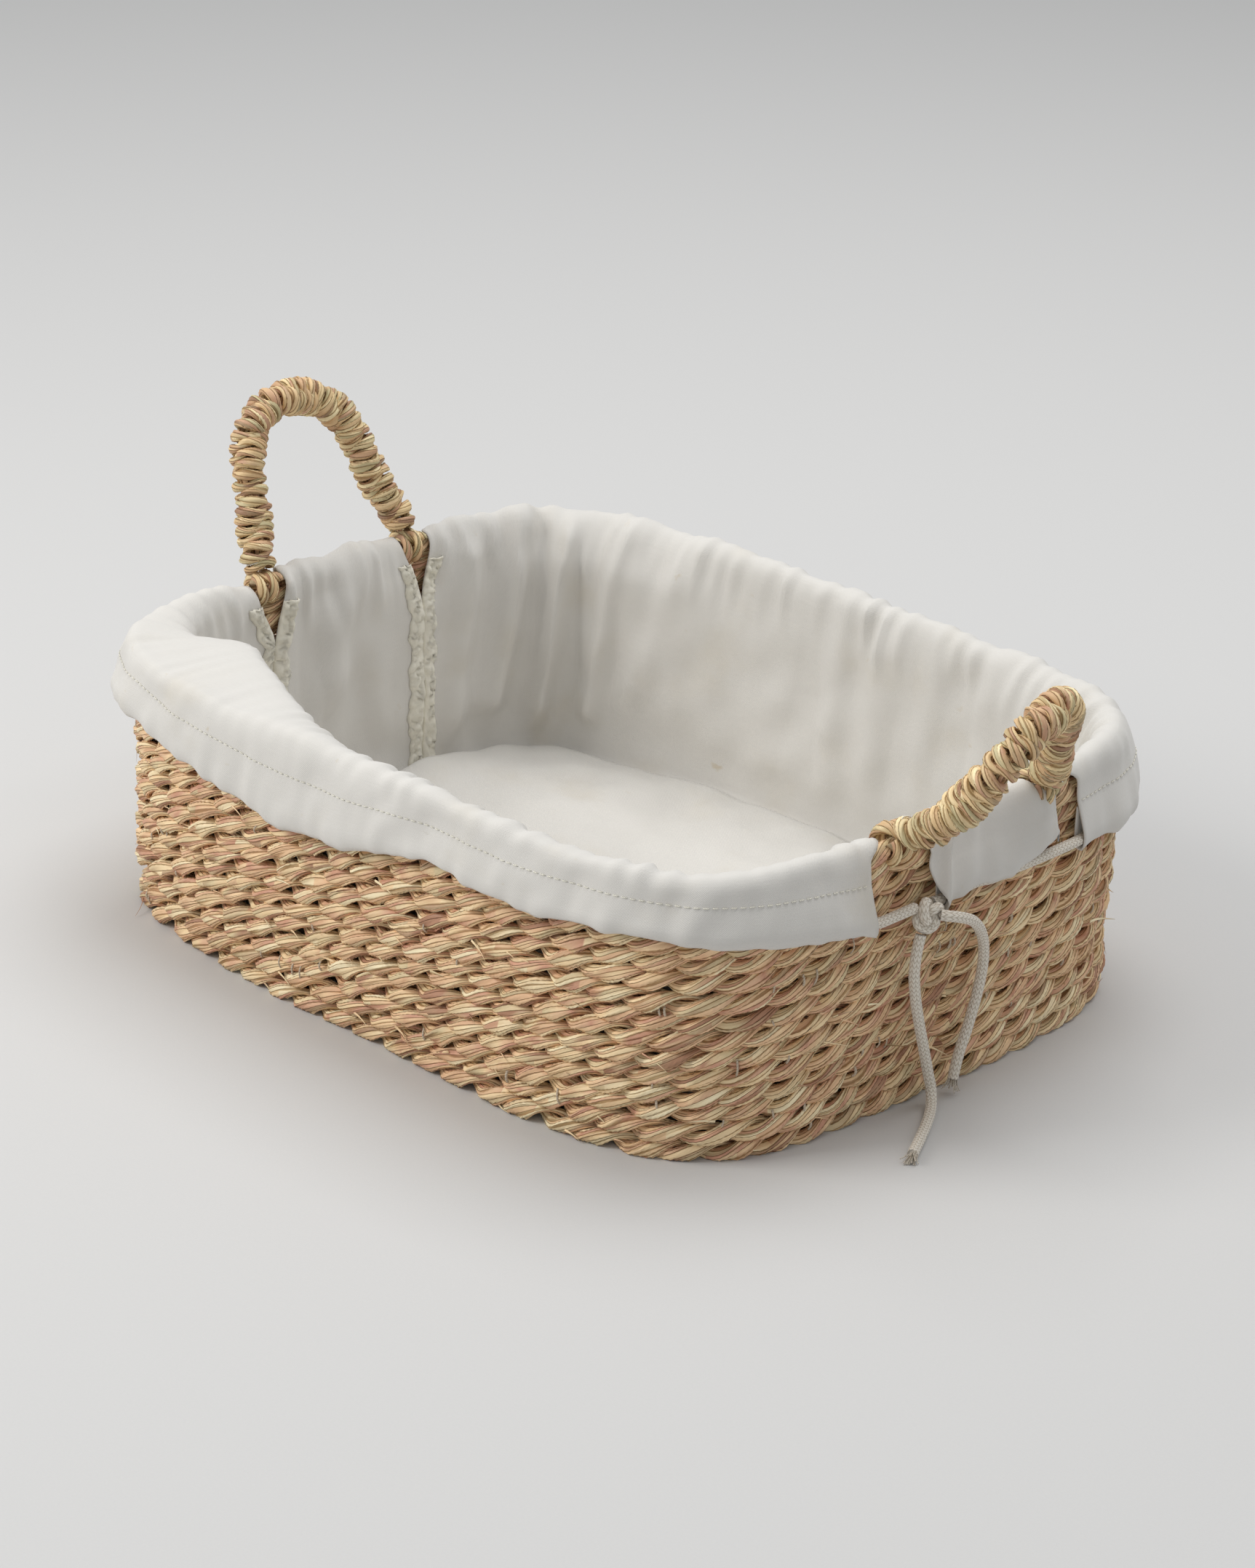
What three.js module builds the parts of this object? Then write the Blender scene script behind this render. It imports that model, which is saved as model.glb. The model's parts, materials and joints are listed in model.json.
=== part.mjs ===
// A lined bread basket: coiled grass rope base and walls, two wrapped rope handles that hinge on the
// top row, a cotton liner in panels with a skirt over the rim, and a drawcord in the skirt's hem.
// Millimetres, +Z up. X runs along the long sides and Y along the short ends. The origin is on the
// standing surface, at the middle of the base.
import * as THREE from "three";

// Basket body.
const HALF_LENGTH = 200; // outside of the bottom row, along X
const HALF_WIDTH = 156.5; // outside of the bottom row, along Y
const PLAN_POWER = 4.8; // roundness of the plan: 2 is an ellipse, more is squarer
const ROPE_HEIGHT = 8.1;
const ROPE_WIDTH = 9;
const ROPE_GAP = 0.3; // clearance between neighbouring turns
const WALL_ROWS = 15;
const WALL_FLARE = 1.5; // how far the top row stands out beyond the bottom row
const ROW_STEPS = 32;
const TURN_END_GAP = 0.0006; // part of a turn left open between its start and its end
const ROPE_FLAT_SHARE = 0.65; // flat part of a turn's width, above and below
const BASE_TURNS = 14; // whole turns, before the last one folds across the middle
const BASE_STEPS_PER_TURN = 12;
const BASE_LAST_STEPS = 10;

// Handles.
const HANDLE_CORE_RADIUS = 4;
const HANDLE_WRAP_RADIUS = 8;
const HANDLE_STEPS = 26;
const SADDLE_INNER_RADIUS = 6.6;
const SADDLE_OUTER_RADIUS = 9.2;
const SADDLE_LENGTH = 14;
const SADDLE_HALF_ANGLE = 70;
const CORE_START = 10.4; // distance of the core's cut ends from the hinge axis
const WRAP_START = 15.4; // distance of the wrap's ends from the hinge axis
const LASHING_RADIUS = 0.9;
const LASHING_RISE = 2; // cut end of the core to the middle of the lashing
// How each handle leans, in degrees outwards from upright, and the middle line of its hand-bent arch,
// as Y and the distance from the hinge axis. Both are sewn on a little off the middle of their end.
const HANDLES = {
  left: {
    lean: 20,
    arch: [
      [-41, 10.4], [-39, 21], [-35.5, 36], [-33.8, 51], [-31.5, 63], [-25.5, 73.5], [-15, 80.5], [-2, 82.5],
      [11, 80], [21.5, 74], [29, 64.5], [33.5, 53], [36.5, 41], [40.5, 29], [46, 19], [48.5, 10.4],
    ],
  },
  right: {
    lean: 37,
    arch: [
      [-37, 10.4], [-34.5, 21], [-30, 37], [-27, 53], [-21.5, 66], [-11.5, 74.5], [1.5, 77], [13, 72.5],
      [23.5, 62], [32.5, 47], [42.5, 29], [49, 19], [51.5, 10.4],
    ],
  },
};

// Liner and drawcord.
const CLOTH = 1;
const CLEARANCE = 0.4;
const DRAPE = 1.8; // how far the hanging cloth stands off the rope rows
const CORD_RADIUS = 2.3;
const CORD_CLEARANCE = 1.2; // play of the cord in its channel
const CORD_STEPS = 52;
const HEM_HEIGHT = 22; // height of the drawcord channel
const SKIRT_DROP = 38; // from the crest of the rim to the hem
const FLAP_FROM_Y = -19;
const FLAP_TO_Y = 41;
const SKIRT_END_NEAR_Y = -58;
const SKIRT_END_FAR_Y = 74;
const FACING_TOP = 106;
const FACING_SIDE_GAP = 1.5;
const KNOT_RADIUS = 3.6;
const KNOT_TUBE_RADIUS = 1.7;
const KNOT_CENTRE = [209, -27, 91];

// Routes of the two free tails, from the knot to their cut ends.
const NEAR_TAIL_ROUTE = [
  [209.5, -31.5, 83],
  [209.7, -33, 78.5],
  [209.8, -34.1, 73],
  [209.6, -34.2, 66.5],
  [209.2, -33, 59.5],
  [208.9, -31.2, 52],
  [208.5, -28.7, 44],
  [208.2, -26.1, 36],
  [207.9, -23.5, 28.5],
  [207.7, -21.2, 21.5],
  [207.8, -19.2, 14.5],
  [208.9, -18.2, 8],
  [212.8, -22, 3.3],
  [219.5, -31, 2.7],
  [228, -45, 2.6],
  [236.5, -60, 2.6],
];
const FAR_TAIL_ROUTE = [
  [213.2, -24, 91],
  [215.6, -21.6, 90.6],
  [216.8, -16.5, 89],
  [216.6, -9.5, 85.8],
  [215.6, -4.5, 82.3],
  [214, 0.5, 77.6],
  [212.4, 4.6, 72],
  [211, 7.5, 66],
  [210, 9, 59.5],
  [209.3, 9.2, 52.5],
  [208.8, 8, 44],
  [208.4, 6, 36],
  [208.2, 3.5, 28],
  [208, 0.5, 20.5],
  [208.1, -1.9, 13.5],
  [208.3, -3.6, 7.5],
];

const FINISHES = {
  straw: { color: 0xb99a6b, roughness: 0.85 },
  handleStraw: { color: 0xc4a574, roughness: 0.85 },
  core: { color: 0x8f7048, roughness: 0.9 },
  cotton: { color: 0xe9e6e0, roughness: 0.95 },
  hem: { color: 0xe2dccb, roughness: 0.95 },
  cord: { color: 0xd8cfc0, roughness: 0.95 },
  thread: { color: 0xf2efe8, roughness: 0.9 },
};

const basket = new THREE.Group();

function addMesh(parent, name, geometry, finish) {
  const mesh = new THREE.Mesh(geometry, new THREE.MeshStandardMaterial({ ...FINISHES[finish], metalness: 0 }));
  mesh.name = name;
  parent.add(mesh);
  return mesh;
}

// Signed power, which turns a circle's cosine and sine into a rounded rectangle's.
function rounded(value, power) {
  return Math.sign(value) * Math.abs(value) ** (2 / power);
}

// Plan outline of the basket, or a stretch of it, run anticlockwise at one height. Its stations are
// spaced by angle, which puts most of them in the corners.
class Outline extends THREE.Curve {
  constructor(halfLength, halfWidth, height, fromAngle, toAngle) {
    super();
    Object.assign(this, { halfLength, halfWidth, height, fromAngle, toAngle });
  }

  getPoint(t, target = new THREE.Vector3()) {
    const angle = this.fromAngle + (this.toAngle - this.fromAngle) * t;
    const x = this.halfLength * rounded(Math.cos(angle), PLAN_POWER);
    const y = this.halfWidth * rounded(Math.sin(angle), PLAN_POWER);
    return target.set(x, y, this.height);
  }

  getPointAt(u, target) {
    return this.getPoint(u, target);
  }

  getTangentAt(u, target) {
    return this.getTangent(u, target);
  }
}

// The same outline wound inwards by one rope for each turn.
class BaseSpiral extends Outline {
  constructor(halfLength, halfWidth, height, turns, pitch) {
    super(halfLength, halfWidth, height, 0, 2 * Math.PI * turns);
    Object.assign(this, { turns, pitch });
  }

  getPoint(t, target = new THREE.Vector3()) {
    const angle = this.toAngle * t;
    const inset = this.pitch * this.turns * t;
    const x = (this.halfLength - inset) * rounded(Math.cos(angle), PLAN_POWER);
    const y = (this.halfWidth - inset) * rounded(Math.sin(angle), PLAN_POWER);
    return target.set(x, y, this.height);
  }
}

// Arch of a handle in its own upright frame, cut off below a distance from the hinge axis.
class HandleArch extends THREE.Curve {
  constructor(arch, trim) {
    super();
    this.line = new THREE.CatmullRomCurve3(arch.map(([y, reach]) => new THREE.Vector3(0, y, reach)));
    this.cut = trim / this.line.getLength();
  }

  getPoint(t, target = new THREE.Vector3()) {
    return this.line.getPointAt(this.cut + (1 - 2 * this.cut) * t, target);
  }
}

// A section for sweeping along an Outline, from points given as [outward offset, height].
function planSection(points) {
  return new THREE.Shape(points.map(([outward, height]) => new THREE.Vector2(-height, -outward)));
}

function roundSection(radius, sides) {
  const corners = [];
  for (let i = 0; i < sides; i++) {
    const angle = (2 * Math.PI * i) / sides;
    corners.push(new THREE.Vector2(radius * Math.cos(angle), radius * Math.sin(angle)));
  }
  return new THREE.Shape(corners);
}

function sweep(section, path, steps) {
  return new THREE.ExtrudeGeometry(section, { steps, extrudePath: path, bevelEnabled: false });
}

// Flattened hexagon of a rope turn, with flat faces above and below.
function ropeSection() {
  const halfWidth = ROPE_WIDTH / 2;
  const halfFlat = ROPE_FLAT_SHARE * halfWidth;
  const halfHeight = ROPE_HEIGHT / 2;
  return planSection([
    [halfWidth, 0],
    [halfFlat, halfHeight],
    [-halfFlat, halfHeight],
    [-halfWidth, 0],
    [-halfFlat, -halfHeight],
    [halfFlat, -halfHeight],
  ]);
}

const rowPitch = ROPE_HEIGHT + ROPE_GAP;
const rimHeight = WALL_ROWS * rowPitch - ROPE_GAP;
const hingeHeight = rimHeight - ROPE_HEIGHT / 2;

// How far the wall stands out beyond the bottom row at a height.
function flareAt(height) {
  return (WALL_FLARE * height) / rimHeight;
}

// The coil starts across the middle of the base and winds outwards to the first wall row.
function addBase() {
  const inset = 1.5 * ROPE_WIDTH + 2 * ROPE_GAP;
  const pitch = (HALF_WIDTH - inset) / (BASE_TURNS + 1);
  const steps = BASE_TURNS * BASE_STEPS_PER_TURN + BASE_LAST_STEPS;
  const turns = steps / BASE_STEPS_PER_TURN;
  const spiral = new BaseSpiral(HALF_LENGTH - inset, HALF_WIDTH - inset, ROPE_HEIGHT / 2, turns, pitch);
  addMesh(basket, "base_coil", sweep(ropeSection(), spiral, steps), "straw");
}

function addWallRows() {
  for (let row = 0; row < WALL_ROWS; row++) {
    const height = ROPE_HEIGHT / 2 + row * rowPitch;
    const outward = flareAt(height) - ROPE_WIDTH / 2;
    // Each turn starts a little further on than the one below, away from both handles.
    const startAngle = Math.PI / 2 + 0.03 * row;
    const endAngle = startAngle + 2 * Math.PI * (1 - TURN_END_GAP);
    const path = new Outline(HALF_LENGTH + outward, HALF_WIDTH + outward, height, startAngle, endAngle);
    const name = `wall_row_${String(row + 1).padStart(2, "0")}`;
    addMesh(basket, name, sweep(ropeSection(), path, ROW_STEPS), "straw");
  }
}

// Strap of rope bent over the top row, open below, on which a handle foot turns.
function saddleGeometry() {
  const half = THREE.MathUtils.degToRad(SADDLE_HALF_ANGLE);
  const shape = new THREE.Shape();
  shape.absarc(0, 0, SADDLE_OUTER_RADIUS, Math.PI / 2 - half, Math.PI / 2 + half, false);
  shape.absarc(0, 0, SADDLE_INNER_RADIUS, Math.PI / 2 + half, Math.PI / 2 - half, true);
  const options = { depth: SADDLE_LENGTH, bevelEnabled: false, curveSegments: 8 };
  const geometry = new THREE.ExtrudeGeometry(shape, options);
  geometry.translate(0, 0, -SADDLE_LENGTH / 2);
  return geometry.rotateX(Math.PI / 2);
}

function addHandle(side, direction) {
  const handle = new THREE.Group();
  const hingeReach = HALF_LENGTH + flareAt(hingeHeight) - ROPE_WIDTH / 2;
  handle.position.set(direction * hingeReach, 0, hingeHeight);
  const { lean, arch } = HANDLES[side];
  handle.rotation.y = direction * THREE.MathUtils.degToRad(lean);
  basket.add(handle);

  const core = sweep(roundSection(HANDLE_CORE_RADIUS, 6), new HandleArch(arch, 0), HANDLE_STEPS);
  addMesh(handle, `handle_${side}_core`, core, "core");
  const sleeve = roundSection(HANDLE_WRAP_RADIUS, 8);
  sleeve.holes.push(new THREE.Path(roundSection(HANDLE_CORE_RADIUS + 3 * CLEARANCE, 6).getPoints()));
  const wrap = sweep(sleeve, new HandleArch(arch, WRAP_START - CORE_START), HANDLE_STEPS);
  addMesh(handle, `handle_${side}_wrap`, wrap, "handleStraw");

  for (const [foot, [footY]] of [["near", arch[0]], ["far", arch[arch.length - 1]]]) {
    const saddle = addMesh(handle, `handle_${side}_${foot}_saddle`, saddleGeometry(), "handleStraw");
    saddle.position.y = footY;
    const ring = new THREE.TorusGeometry(HANDLE_CORE_RADIUS + 2 * CLEARANCE + LASHING_RADIUS, LASHING_RADIUS, 6, 12);
    const lashing = addMesh(handle, `handle_${side}_${foot}_lashing`, ring, "thread");
    const tied = new HandleArch(arch, LASHING_RISE).getPoint(foot === "near" ? 0 : 1);
    lashing.position.copy(tied);
  }
}

// Angle on the outline of the end wall at a distance from the middle of that wall.
function endAngle(y) {
  return Math.asin(Math.sign(y) * Math.abs(y / HALF_WIDTH) ** (PLAN_POWER / 2));
}

const linerFloor = ROPE_HEIGHT + CLEARANCE;
const wallInside = -ROPE_WIDTH - DRAPE; // outward offset of the liner's face against the wall
const crestTop = rimHeight + CLEARANCE + CLOTH;
const hemBottom = crestTop - SKIRT_DROP;
const cordOffset = WALL_FLARE + DRAPE + CLOTH + CORD_CLEARANCE + CORD_RADIUS;
const cordHeight = hemBottom + CLOTH + CORD_CLEARANCE + CORD_RADIUS;

// Cloth section: up the inside of the wall, over the rim, down outside, and back up inside the hem
// as the channel's second ply. The channel is open at its top, where its stitching is.
function panelSection() {
  const outside = WALL_FLARE + DRAPE;
  const pocket = cordOffset + CORD_RADIUS + CORD_CLEARANCE;
  const hemTop = hemBottom + HEM_HEIGHT;
  const foldTop = hemBottom + 2 * (CORD_RADIUS + CORD_CLEARANCE) + 3 * CLOTH;
  return planSection([
    [wallInside - CLOTH, linerFloor + 2 * CLOTH],
    [wallInside, linerFloor + 2 * CLOTH],
    [wallInside + WALL_FLARE, rimHeight],
    [wallInside + WALL_FLARE + CLEARANCE, rimHeight + CLEARANCE],
    [outside - CLEARANCE, rimHeight + CLEARANCE],
    [outside, rimHeight],
    [outside + CLOTH, hemTop],
    [pocket, foldTop],
    [pocket, hemBottom + CLOTH],
    [outside + CLOTH, hemBottom + CLOTH],
    [outside + CLOTH, foldTop],
    [outside, foldTop],
    [outside, hemBottom],
    [pocket + CLOTH, hemBottom],
    [pocket + CLOTH, foldTop + CLOTH],
    [outside + 2 * CLOTH, hemTop + CLOTH],
    [outside + CLOTH, rimHeight],
    [outside, crestTop],
    [wallInside + WALL_FLARE, crestTop],
    [wallInside + WALL_FLARE - CLOTH, rimHeight],
  ]);
}

function addLiner() {
  const section = panelSection();
  const right = endAngle;
  const left = (y) => Math.PI - endAngle(y);
  const turn = 2 * Math.PI;
  const panels = [
    ["liner_side_back", right(SKIRT_END_FAR_Y), left(SKIRT_END_FAR_Y), 26],
    ["liner_side_front", left(SKIRT_END_NEAR_Y), turn + right(SKIRT_END_NEAR_Y), 26],
    ["liner_end_right", right(FLAP_FROM_Y), right(FLAP_TO_Y), 2],
    ["liner_end_left", left(FLAP_TO_Y), left(FLAP_FROM_Y), 2],
  ];
  for (const [name, from, to, steps] of panels) {
    const path = new Outline(HALF_LENGTH, HALF_WIDTH, 0, from, to);
    addMesh(basket, name, sweep(section, path, steps), "cotton");
  }

  const inset = ROPE_WIDTH + DRAPE + 2 * CLOTH;
  const outline = new Outline(HALF_LENGTH - inset, HALF_WIDTH - inset, 0, 0, 2 * Math.PI);
  const corners = outline.getPoints(ROW_STEPS).slice(0, ROW_STEPS);
  const shape = new THREE.Shape(corners.map((p) => new THREE.Vector2(p.x, p.y)));
  const floor = addMesh(
    basket,
    "liner_floor",
    new THREE.ExtrudeGeometry(shape, { depth: CLOTH, bevelEnabled: false }),
    "cotton",
  );
  floor.position.z = linerFloor;
}

// Hemmed strips of the liner wall below each slit, between an end panel and a side panel.
function addSlitFacings() {
  const facings = [
    ["near", SKIRT_END_NEAR_Y, FLAP_FROM_Y],
    ["far", FLAP_TO_Y, SKIRT_END_FAR_Y],
  ];
  for (const [side, direction] of [["left", -1], ["right", 1]]) {
    for (const [foot, fromY, toY] of facings) {
      const width = toY - fromY - 2 * FACING_SIDE_GAP;
      const height = FACING_TOP - linerFloor - 2 * CLOTH;
      const x = HALF_LENGTH + wallInside - 1.5 * CLOTH;
      const strip = new THREE.BoxGeometry(CLOTH, width, height);
      const mesh = addMesh(basket, `slit_facing_${side}_${foot}`, strip, "hem");
      mesh.position.set(direction * x, (fromY + toY) / 2, linerFloor + 2 * CLOTH + height / 2);
    }
  }
}

function addDrawcord() {
  const [, knotY] = KNOT_CENTRE;
  const knotReach = KNOT_RADIUS * 1.5 + KNOT_TUBE_RADIUS + CLEARANCE;
  const from = endAngle(knotY + knotReach);
  const to = 2 * Math.PI + endAngle(knotY - knotReach);
  const path = new Outline(HALF_LENGTH, HALF_WIDTH, 0, from, to);
  const section = roundSection(CORD_RADIUS, 8).getPoints();
  const atHem = planSection(section.map((p) => [cordOffset + p.x, cordHeight + p.y]));
  addMesh(basket, "drawcord_hem_run", sweep(atHem, path, CORD_STEPS), "cord");

  const knot = new THREE.TorusKnotGeometry(KNOT_RADIUS, KNOT_TUBE_RADIUS, 40, 6, 2, 3);
  const knotMesh = addMesh(basket, "drawcord_knot", knot, "cord");
  knotMesh.rotation.y = Math.PI / 2;
  knotMesh.position.set(...KNOT_CENTRE);

  const tails = [
    ["drawcord_tail_near", NEAR_TAIL_ROUTE],
    ["drawcord_tail_far", FAR_TAIL_ROUTE],
  ];
  for (const [name, route] of tails) {
    const curve = new THREE.CatmullRomCurve3(route.map((p) => new THREE.Vector3(...p)), false, "centripetal");
    addMesh(basket, name, sweep(roundSection(CORD_RADIUS, 8), curve, 24), "cord");
  }
}

addBase();
addWallRows();
addHandle("left", -1);
addHandle("right", 1);
addLiner();
addSlitFacings();
addDrawcord();

export default basket;
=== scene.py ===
"""Lined bread basket: coiled grass rope, wrapped rope handles, cotton liner and knitted drawcord.

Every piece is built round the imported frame, in metres, in the frame's own axes. X runs along the long
sides, Y along the short ends, and Z is up from the standing surface.
"""

import json
import logging
import math
from dataclasses import dataclass, field
from enum import Enum
from typing import Callable

import bmesh
import bpy
import numpy as np
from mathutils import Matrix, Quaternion, Vector


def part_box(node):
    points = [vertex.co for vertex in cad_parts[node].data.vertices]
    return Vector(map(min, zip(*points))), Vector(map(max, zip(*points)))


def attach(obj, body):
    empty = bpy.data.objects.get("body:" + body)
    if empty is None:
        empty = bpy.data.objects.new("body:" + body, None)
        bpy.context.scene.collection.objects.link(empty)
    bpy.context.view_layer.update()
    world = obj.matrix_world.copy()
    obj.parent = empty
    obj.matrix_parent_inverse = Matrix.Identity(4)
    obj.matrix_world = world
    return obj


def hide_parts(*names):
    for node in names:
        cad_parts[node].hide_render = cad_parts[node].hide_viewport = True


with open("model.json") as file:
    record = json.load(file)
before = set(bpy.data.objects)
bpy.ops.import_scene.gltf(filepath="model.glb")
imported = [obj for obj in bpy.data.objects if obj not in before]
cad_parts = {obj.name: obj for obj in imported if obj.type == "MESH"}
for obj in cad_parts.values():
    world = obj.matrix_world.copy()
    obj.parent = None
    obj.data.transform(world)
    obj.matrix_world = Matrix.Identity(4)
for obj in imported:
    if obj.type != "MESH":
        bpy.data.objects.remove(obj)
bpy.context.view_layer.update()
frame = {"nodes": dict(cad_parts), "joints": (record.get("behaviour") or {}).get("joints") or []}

LOG = logging.getLogger("bread_basket")
MM = 0.001
BODY = "basket"
PLAN_POWER = 4.8
ROPE_WIDTH = 9 * MM

Place = Callable[[np.ndarray, np.ndarray], tuple[np.ndarray, np.ndarray]]
Route = Callable[[np.ndarray], tuple[np.ndarray, np.ndarray, np.ndarray]]


class Closing(Enum):
    """Which edges of a shaped grid are sewn to each other."""

    OPEN = 0
    AROUND = 1
    BOTH = 2


class End(Enum):
    """The two short ends of the basket, by the sign of X."""

    LEFT = -1
    RIGHT = 1


# ---------------------------------------------------------------------------------------------------
# Shaping tools


@dataclass(frozen=True)
class Ripples:
    """Smooth unevenness that is the same on every run.

    Attributes:
        seed: Picks the pattern.
        size: Typical width of one bump.
        waves: How many waves are added up.
        period: If above zero, the pattern repeats over this distance in its first direction.
    """

    seed: int
    size: float
    waves: int = 14
    period: float = 0.0

    def __call__(self, x: np.ndarray, y: np.ndarray | float = 0.0) -> np.ndarray:
        """Height of the pattern, mostly between -2 and 2.

        Args:
            x: Distances in the first direction.
            y: Distances in the second direction.

        Returns:
            One height for each point.
        """
        rng = np.random.default_rng(self.seed)
        total = np.zeros(np.broadcast(x, y).shape)
        for _ in range(self.waves):
            turn = rng.uniform(0, 2 * math.pi)
            width = self.size * rng.uniform(0.7, 1.9)
            across, along = 2 * math.pi * math.cos(turn) / width, 2 * math.pi * math.sin(turn) / width
            if self.period:
                step = 2 * math.pi / self.period
                across = step * round(across / step)
            total += np.sin(across * x + along * y + rng.uniform(0, 2 * math.pi))
        return total / math.sqrt(self.waves / 2)


def smooth_step(value: np.ndarray, low: float, high: float) -> np.ndarray:
    """Share from 0 to 1, smoothly, as value goes from low to high."""
    share = np.clip((value - low) / (high - low), 0, 1)
    return share * share * (3 - 2 * share)


def unit(vectors: np.ndarray) -> np.ndarray:
    """The same directions at length one."""
    return vectors / np.maximum(np.linalg.norm(vectors, axis=-1, keepdims=True), 1e-12)


def run_of(line: np.ndarray) -> np.ndarray:
    """Distance along a line at each of its points."""
    return np.r_[0, np.cumsum(np.linalg.norm(np.diff(line, axis=0), axis=1))]


def sampled(at: np.ndarray, run: np.ndarray, points: np.ndarray) -> np.ndarray:
    """Points between the given ones, at distances along their line."""
    return np.stack([np.interp(at, run, points[:, k]) for k in range(points.shape[1])], axis=1)


def plan_reach(half_length: float | np.ndarray, half_width: float | np.ndarray,
               angle: np.ndarray) -> np.ndarray:
    """Distance from the middle to the rounded-rectangle plan, in each direction."""
    return (np.abs(np.cos(angle) / half_length) ** PLAN_POWER
            + np.abs(np.sin(angle) / half_width) ** PLAN_POWER) ** (-1 / PLAN_POWER)


def flowing_line(points: list[tuple[float, ...]], count: int = 400) -> np.ndarray:
    """A smooth line through given points.

    Args:
        points: The points that the line passes through.
        count: How many points the result has.

    Returns:
        Points at even distances along the line.
    """
    keys = np.array(points, float)
    ends = np.vstack([2 * keys[0] - keys[1], keys, 2 * keys[-1] - keys[-2]])
    dense = []
    for a, b, c, d in zip(ends, ends[1:], ends[2:], ends[3:]):
        t = np.linspace(0, 1, 24, endpoint=False)[:, None]
        dense.append(0.5 * (2 * b + (c - a) * t + (2 * a - 5 * b + 4 * c - d) * t**2
                            + (3 * b - a - 3 * c + d) * t**3))
    line = np.vstack([*dense, keys[-1:]])
    run = run_of(line)
    return sampled(np.linspace(0, run[-1], count), run, line)


def carried(line: np.ndarray, first: np.ndarray, second: np.ndarray) -> Route:
    """Makes a route from a line and its two directions across.

    Args:
        line: Points along the line.
        first: One direction across the line at each point.
        second: The other direction at each point.

    Returns:
        A function from shares along the line to centres and the two directions.
    """
    run = run_of(line)

    def route(share: np.ndarray) -> tuple[np.ndarray, np.ndarray, np.ndarray]:
        centre, one, other = (sampled(share * run[-1], run, points) for points in (line, first, second))
        return centre, unit(one), unit(other)

    return route


def follow(line: np.ndarray, up: Vector) -> Route:
    """Makes a route that follows a line.

    Args:
        line: Points along the line.
        up: A direction that is never along the line.

    Returns:
        A function from shares along the line to centres and two directions across it.
    """
    tangents = unit(np.gradient(line, axis=0))
    side = unit(np.cross(tangents, np.array(up)))
    return carried(line, side, np.cross(side, tangents))


def shaped_grid(name: str, along: int, around: int, place: Place, closing: Closing) -> bpy.types.Mesh:
    """A grid of squares, moved into shape and sewn up.

    Args:
        name: Name of the mesh.
        along: Squares in the first direction.
        around: Squares in the second direction.
        place: Gives each grid point its position and its UV.
        closing: Which edges are sewn together.

    Returns:
        The mesh, with its UV map.
    """
    bm = bmesh.new()
    bm.loops.layers.uv.new("UVMap")
    bmesh.ops.create_grid(bm, x_segments=along, y_segments=around, size=1, calc_uvs=True)
    mesh = bpy.data.meshes.new(name)
    bm.to_mesh(mesh)
    bm.free()
    flat = np.empty(len(mesh.vertices) * 3, np.float32)
    mesh.vertices.foreach_get("co", flat)
    flat = flat.reshape(-1, 3).astype(float)
    position, uv = place((flat[:, 0] + 1) / 2, (flat[:, 1] + 1) / 2)
    mesh.vertices.foreach_set("co", position.astype(np.float32).ravel())
    corners = np.empty(len(mesh.loops), np.int32)
    mesh.loops.foreach_get("vertex_index", corners)
    mesh.uv_layers[0].data.foreach_set("uv", uv[corners].astype(np.float32).ravel())
    if closing is not Closing.OPEN:
        bm = bmesh.new()
        bm.from_mesh(mesh)
        edge = [v for v in bm.verts if v.is_boundary]
        bmesh.ops.remove_doubles(bm, verts=edge, dist=0.01 * MM)
        rims = [e for e in bm.edges if e.is_boundary]
        if rims:
            bmesh.ops.holes_fill(bm, edges=rims, sides=0)
        bm.to_mesh(mesh)
        bm.free()
    mesh.update()
    mesh.shade_smooth()
    return mesh


def joined(name: str, meshes: list[bpy.types.Mesh]) -> bpy.types.Object:
    """One object that holds several meshes.

    Args:
        name: Name of the object.
        meshes: The meshes, which are removed.

    Returns:
        The object, linked to the scene.
    """
    bm = bmesh.new()
    for mesh in meshes:
        bm.from_mesh(mesh)
    whole = bpy.data.meshes.new(name)
    bm.to_mesh(whole)
    bm.free()
    for mesh in meshes:
        bpy.data.meshes.remove(mesh)
    whole.shade_smooth()
    piece = bpy.data.objects.new(name, whole)
    bpy.context.scene.collection.objects.link(piece)
    return piece


def fit(piece: bpy.types.Object, body: str, slot: str, finish: bpy.types.Material, *nodes: str) -> None:
    """Dresses a piece and ties it to the frame.

    Args:
        piece: The piece.
        body: The body that it rides on.
        slot: The record's material slot; not used.
        finish: Its material.
        nodes: The CAD nodes that it stands for.
    """
    piece.data.materials.clear()
    piece.data.materials.append(finish)
    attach(piece, body)
    if nodes:
        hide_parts(*nodes)
    LOG.info("%s: %d faces", piece.name, len(piece.data.polygons))


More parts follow.
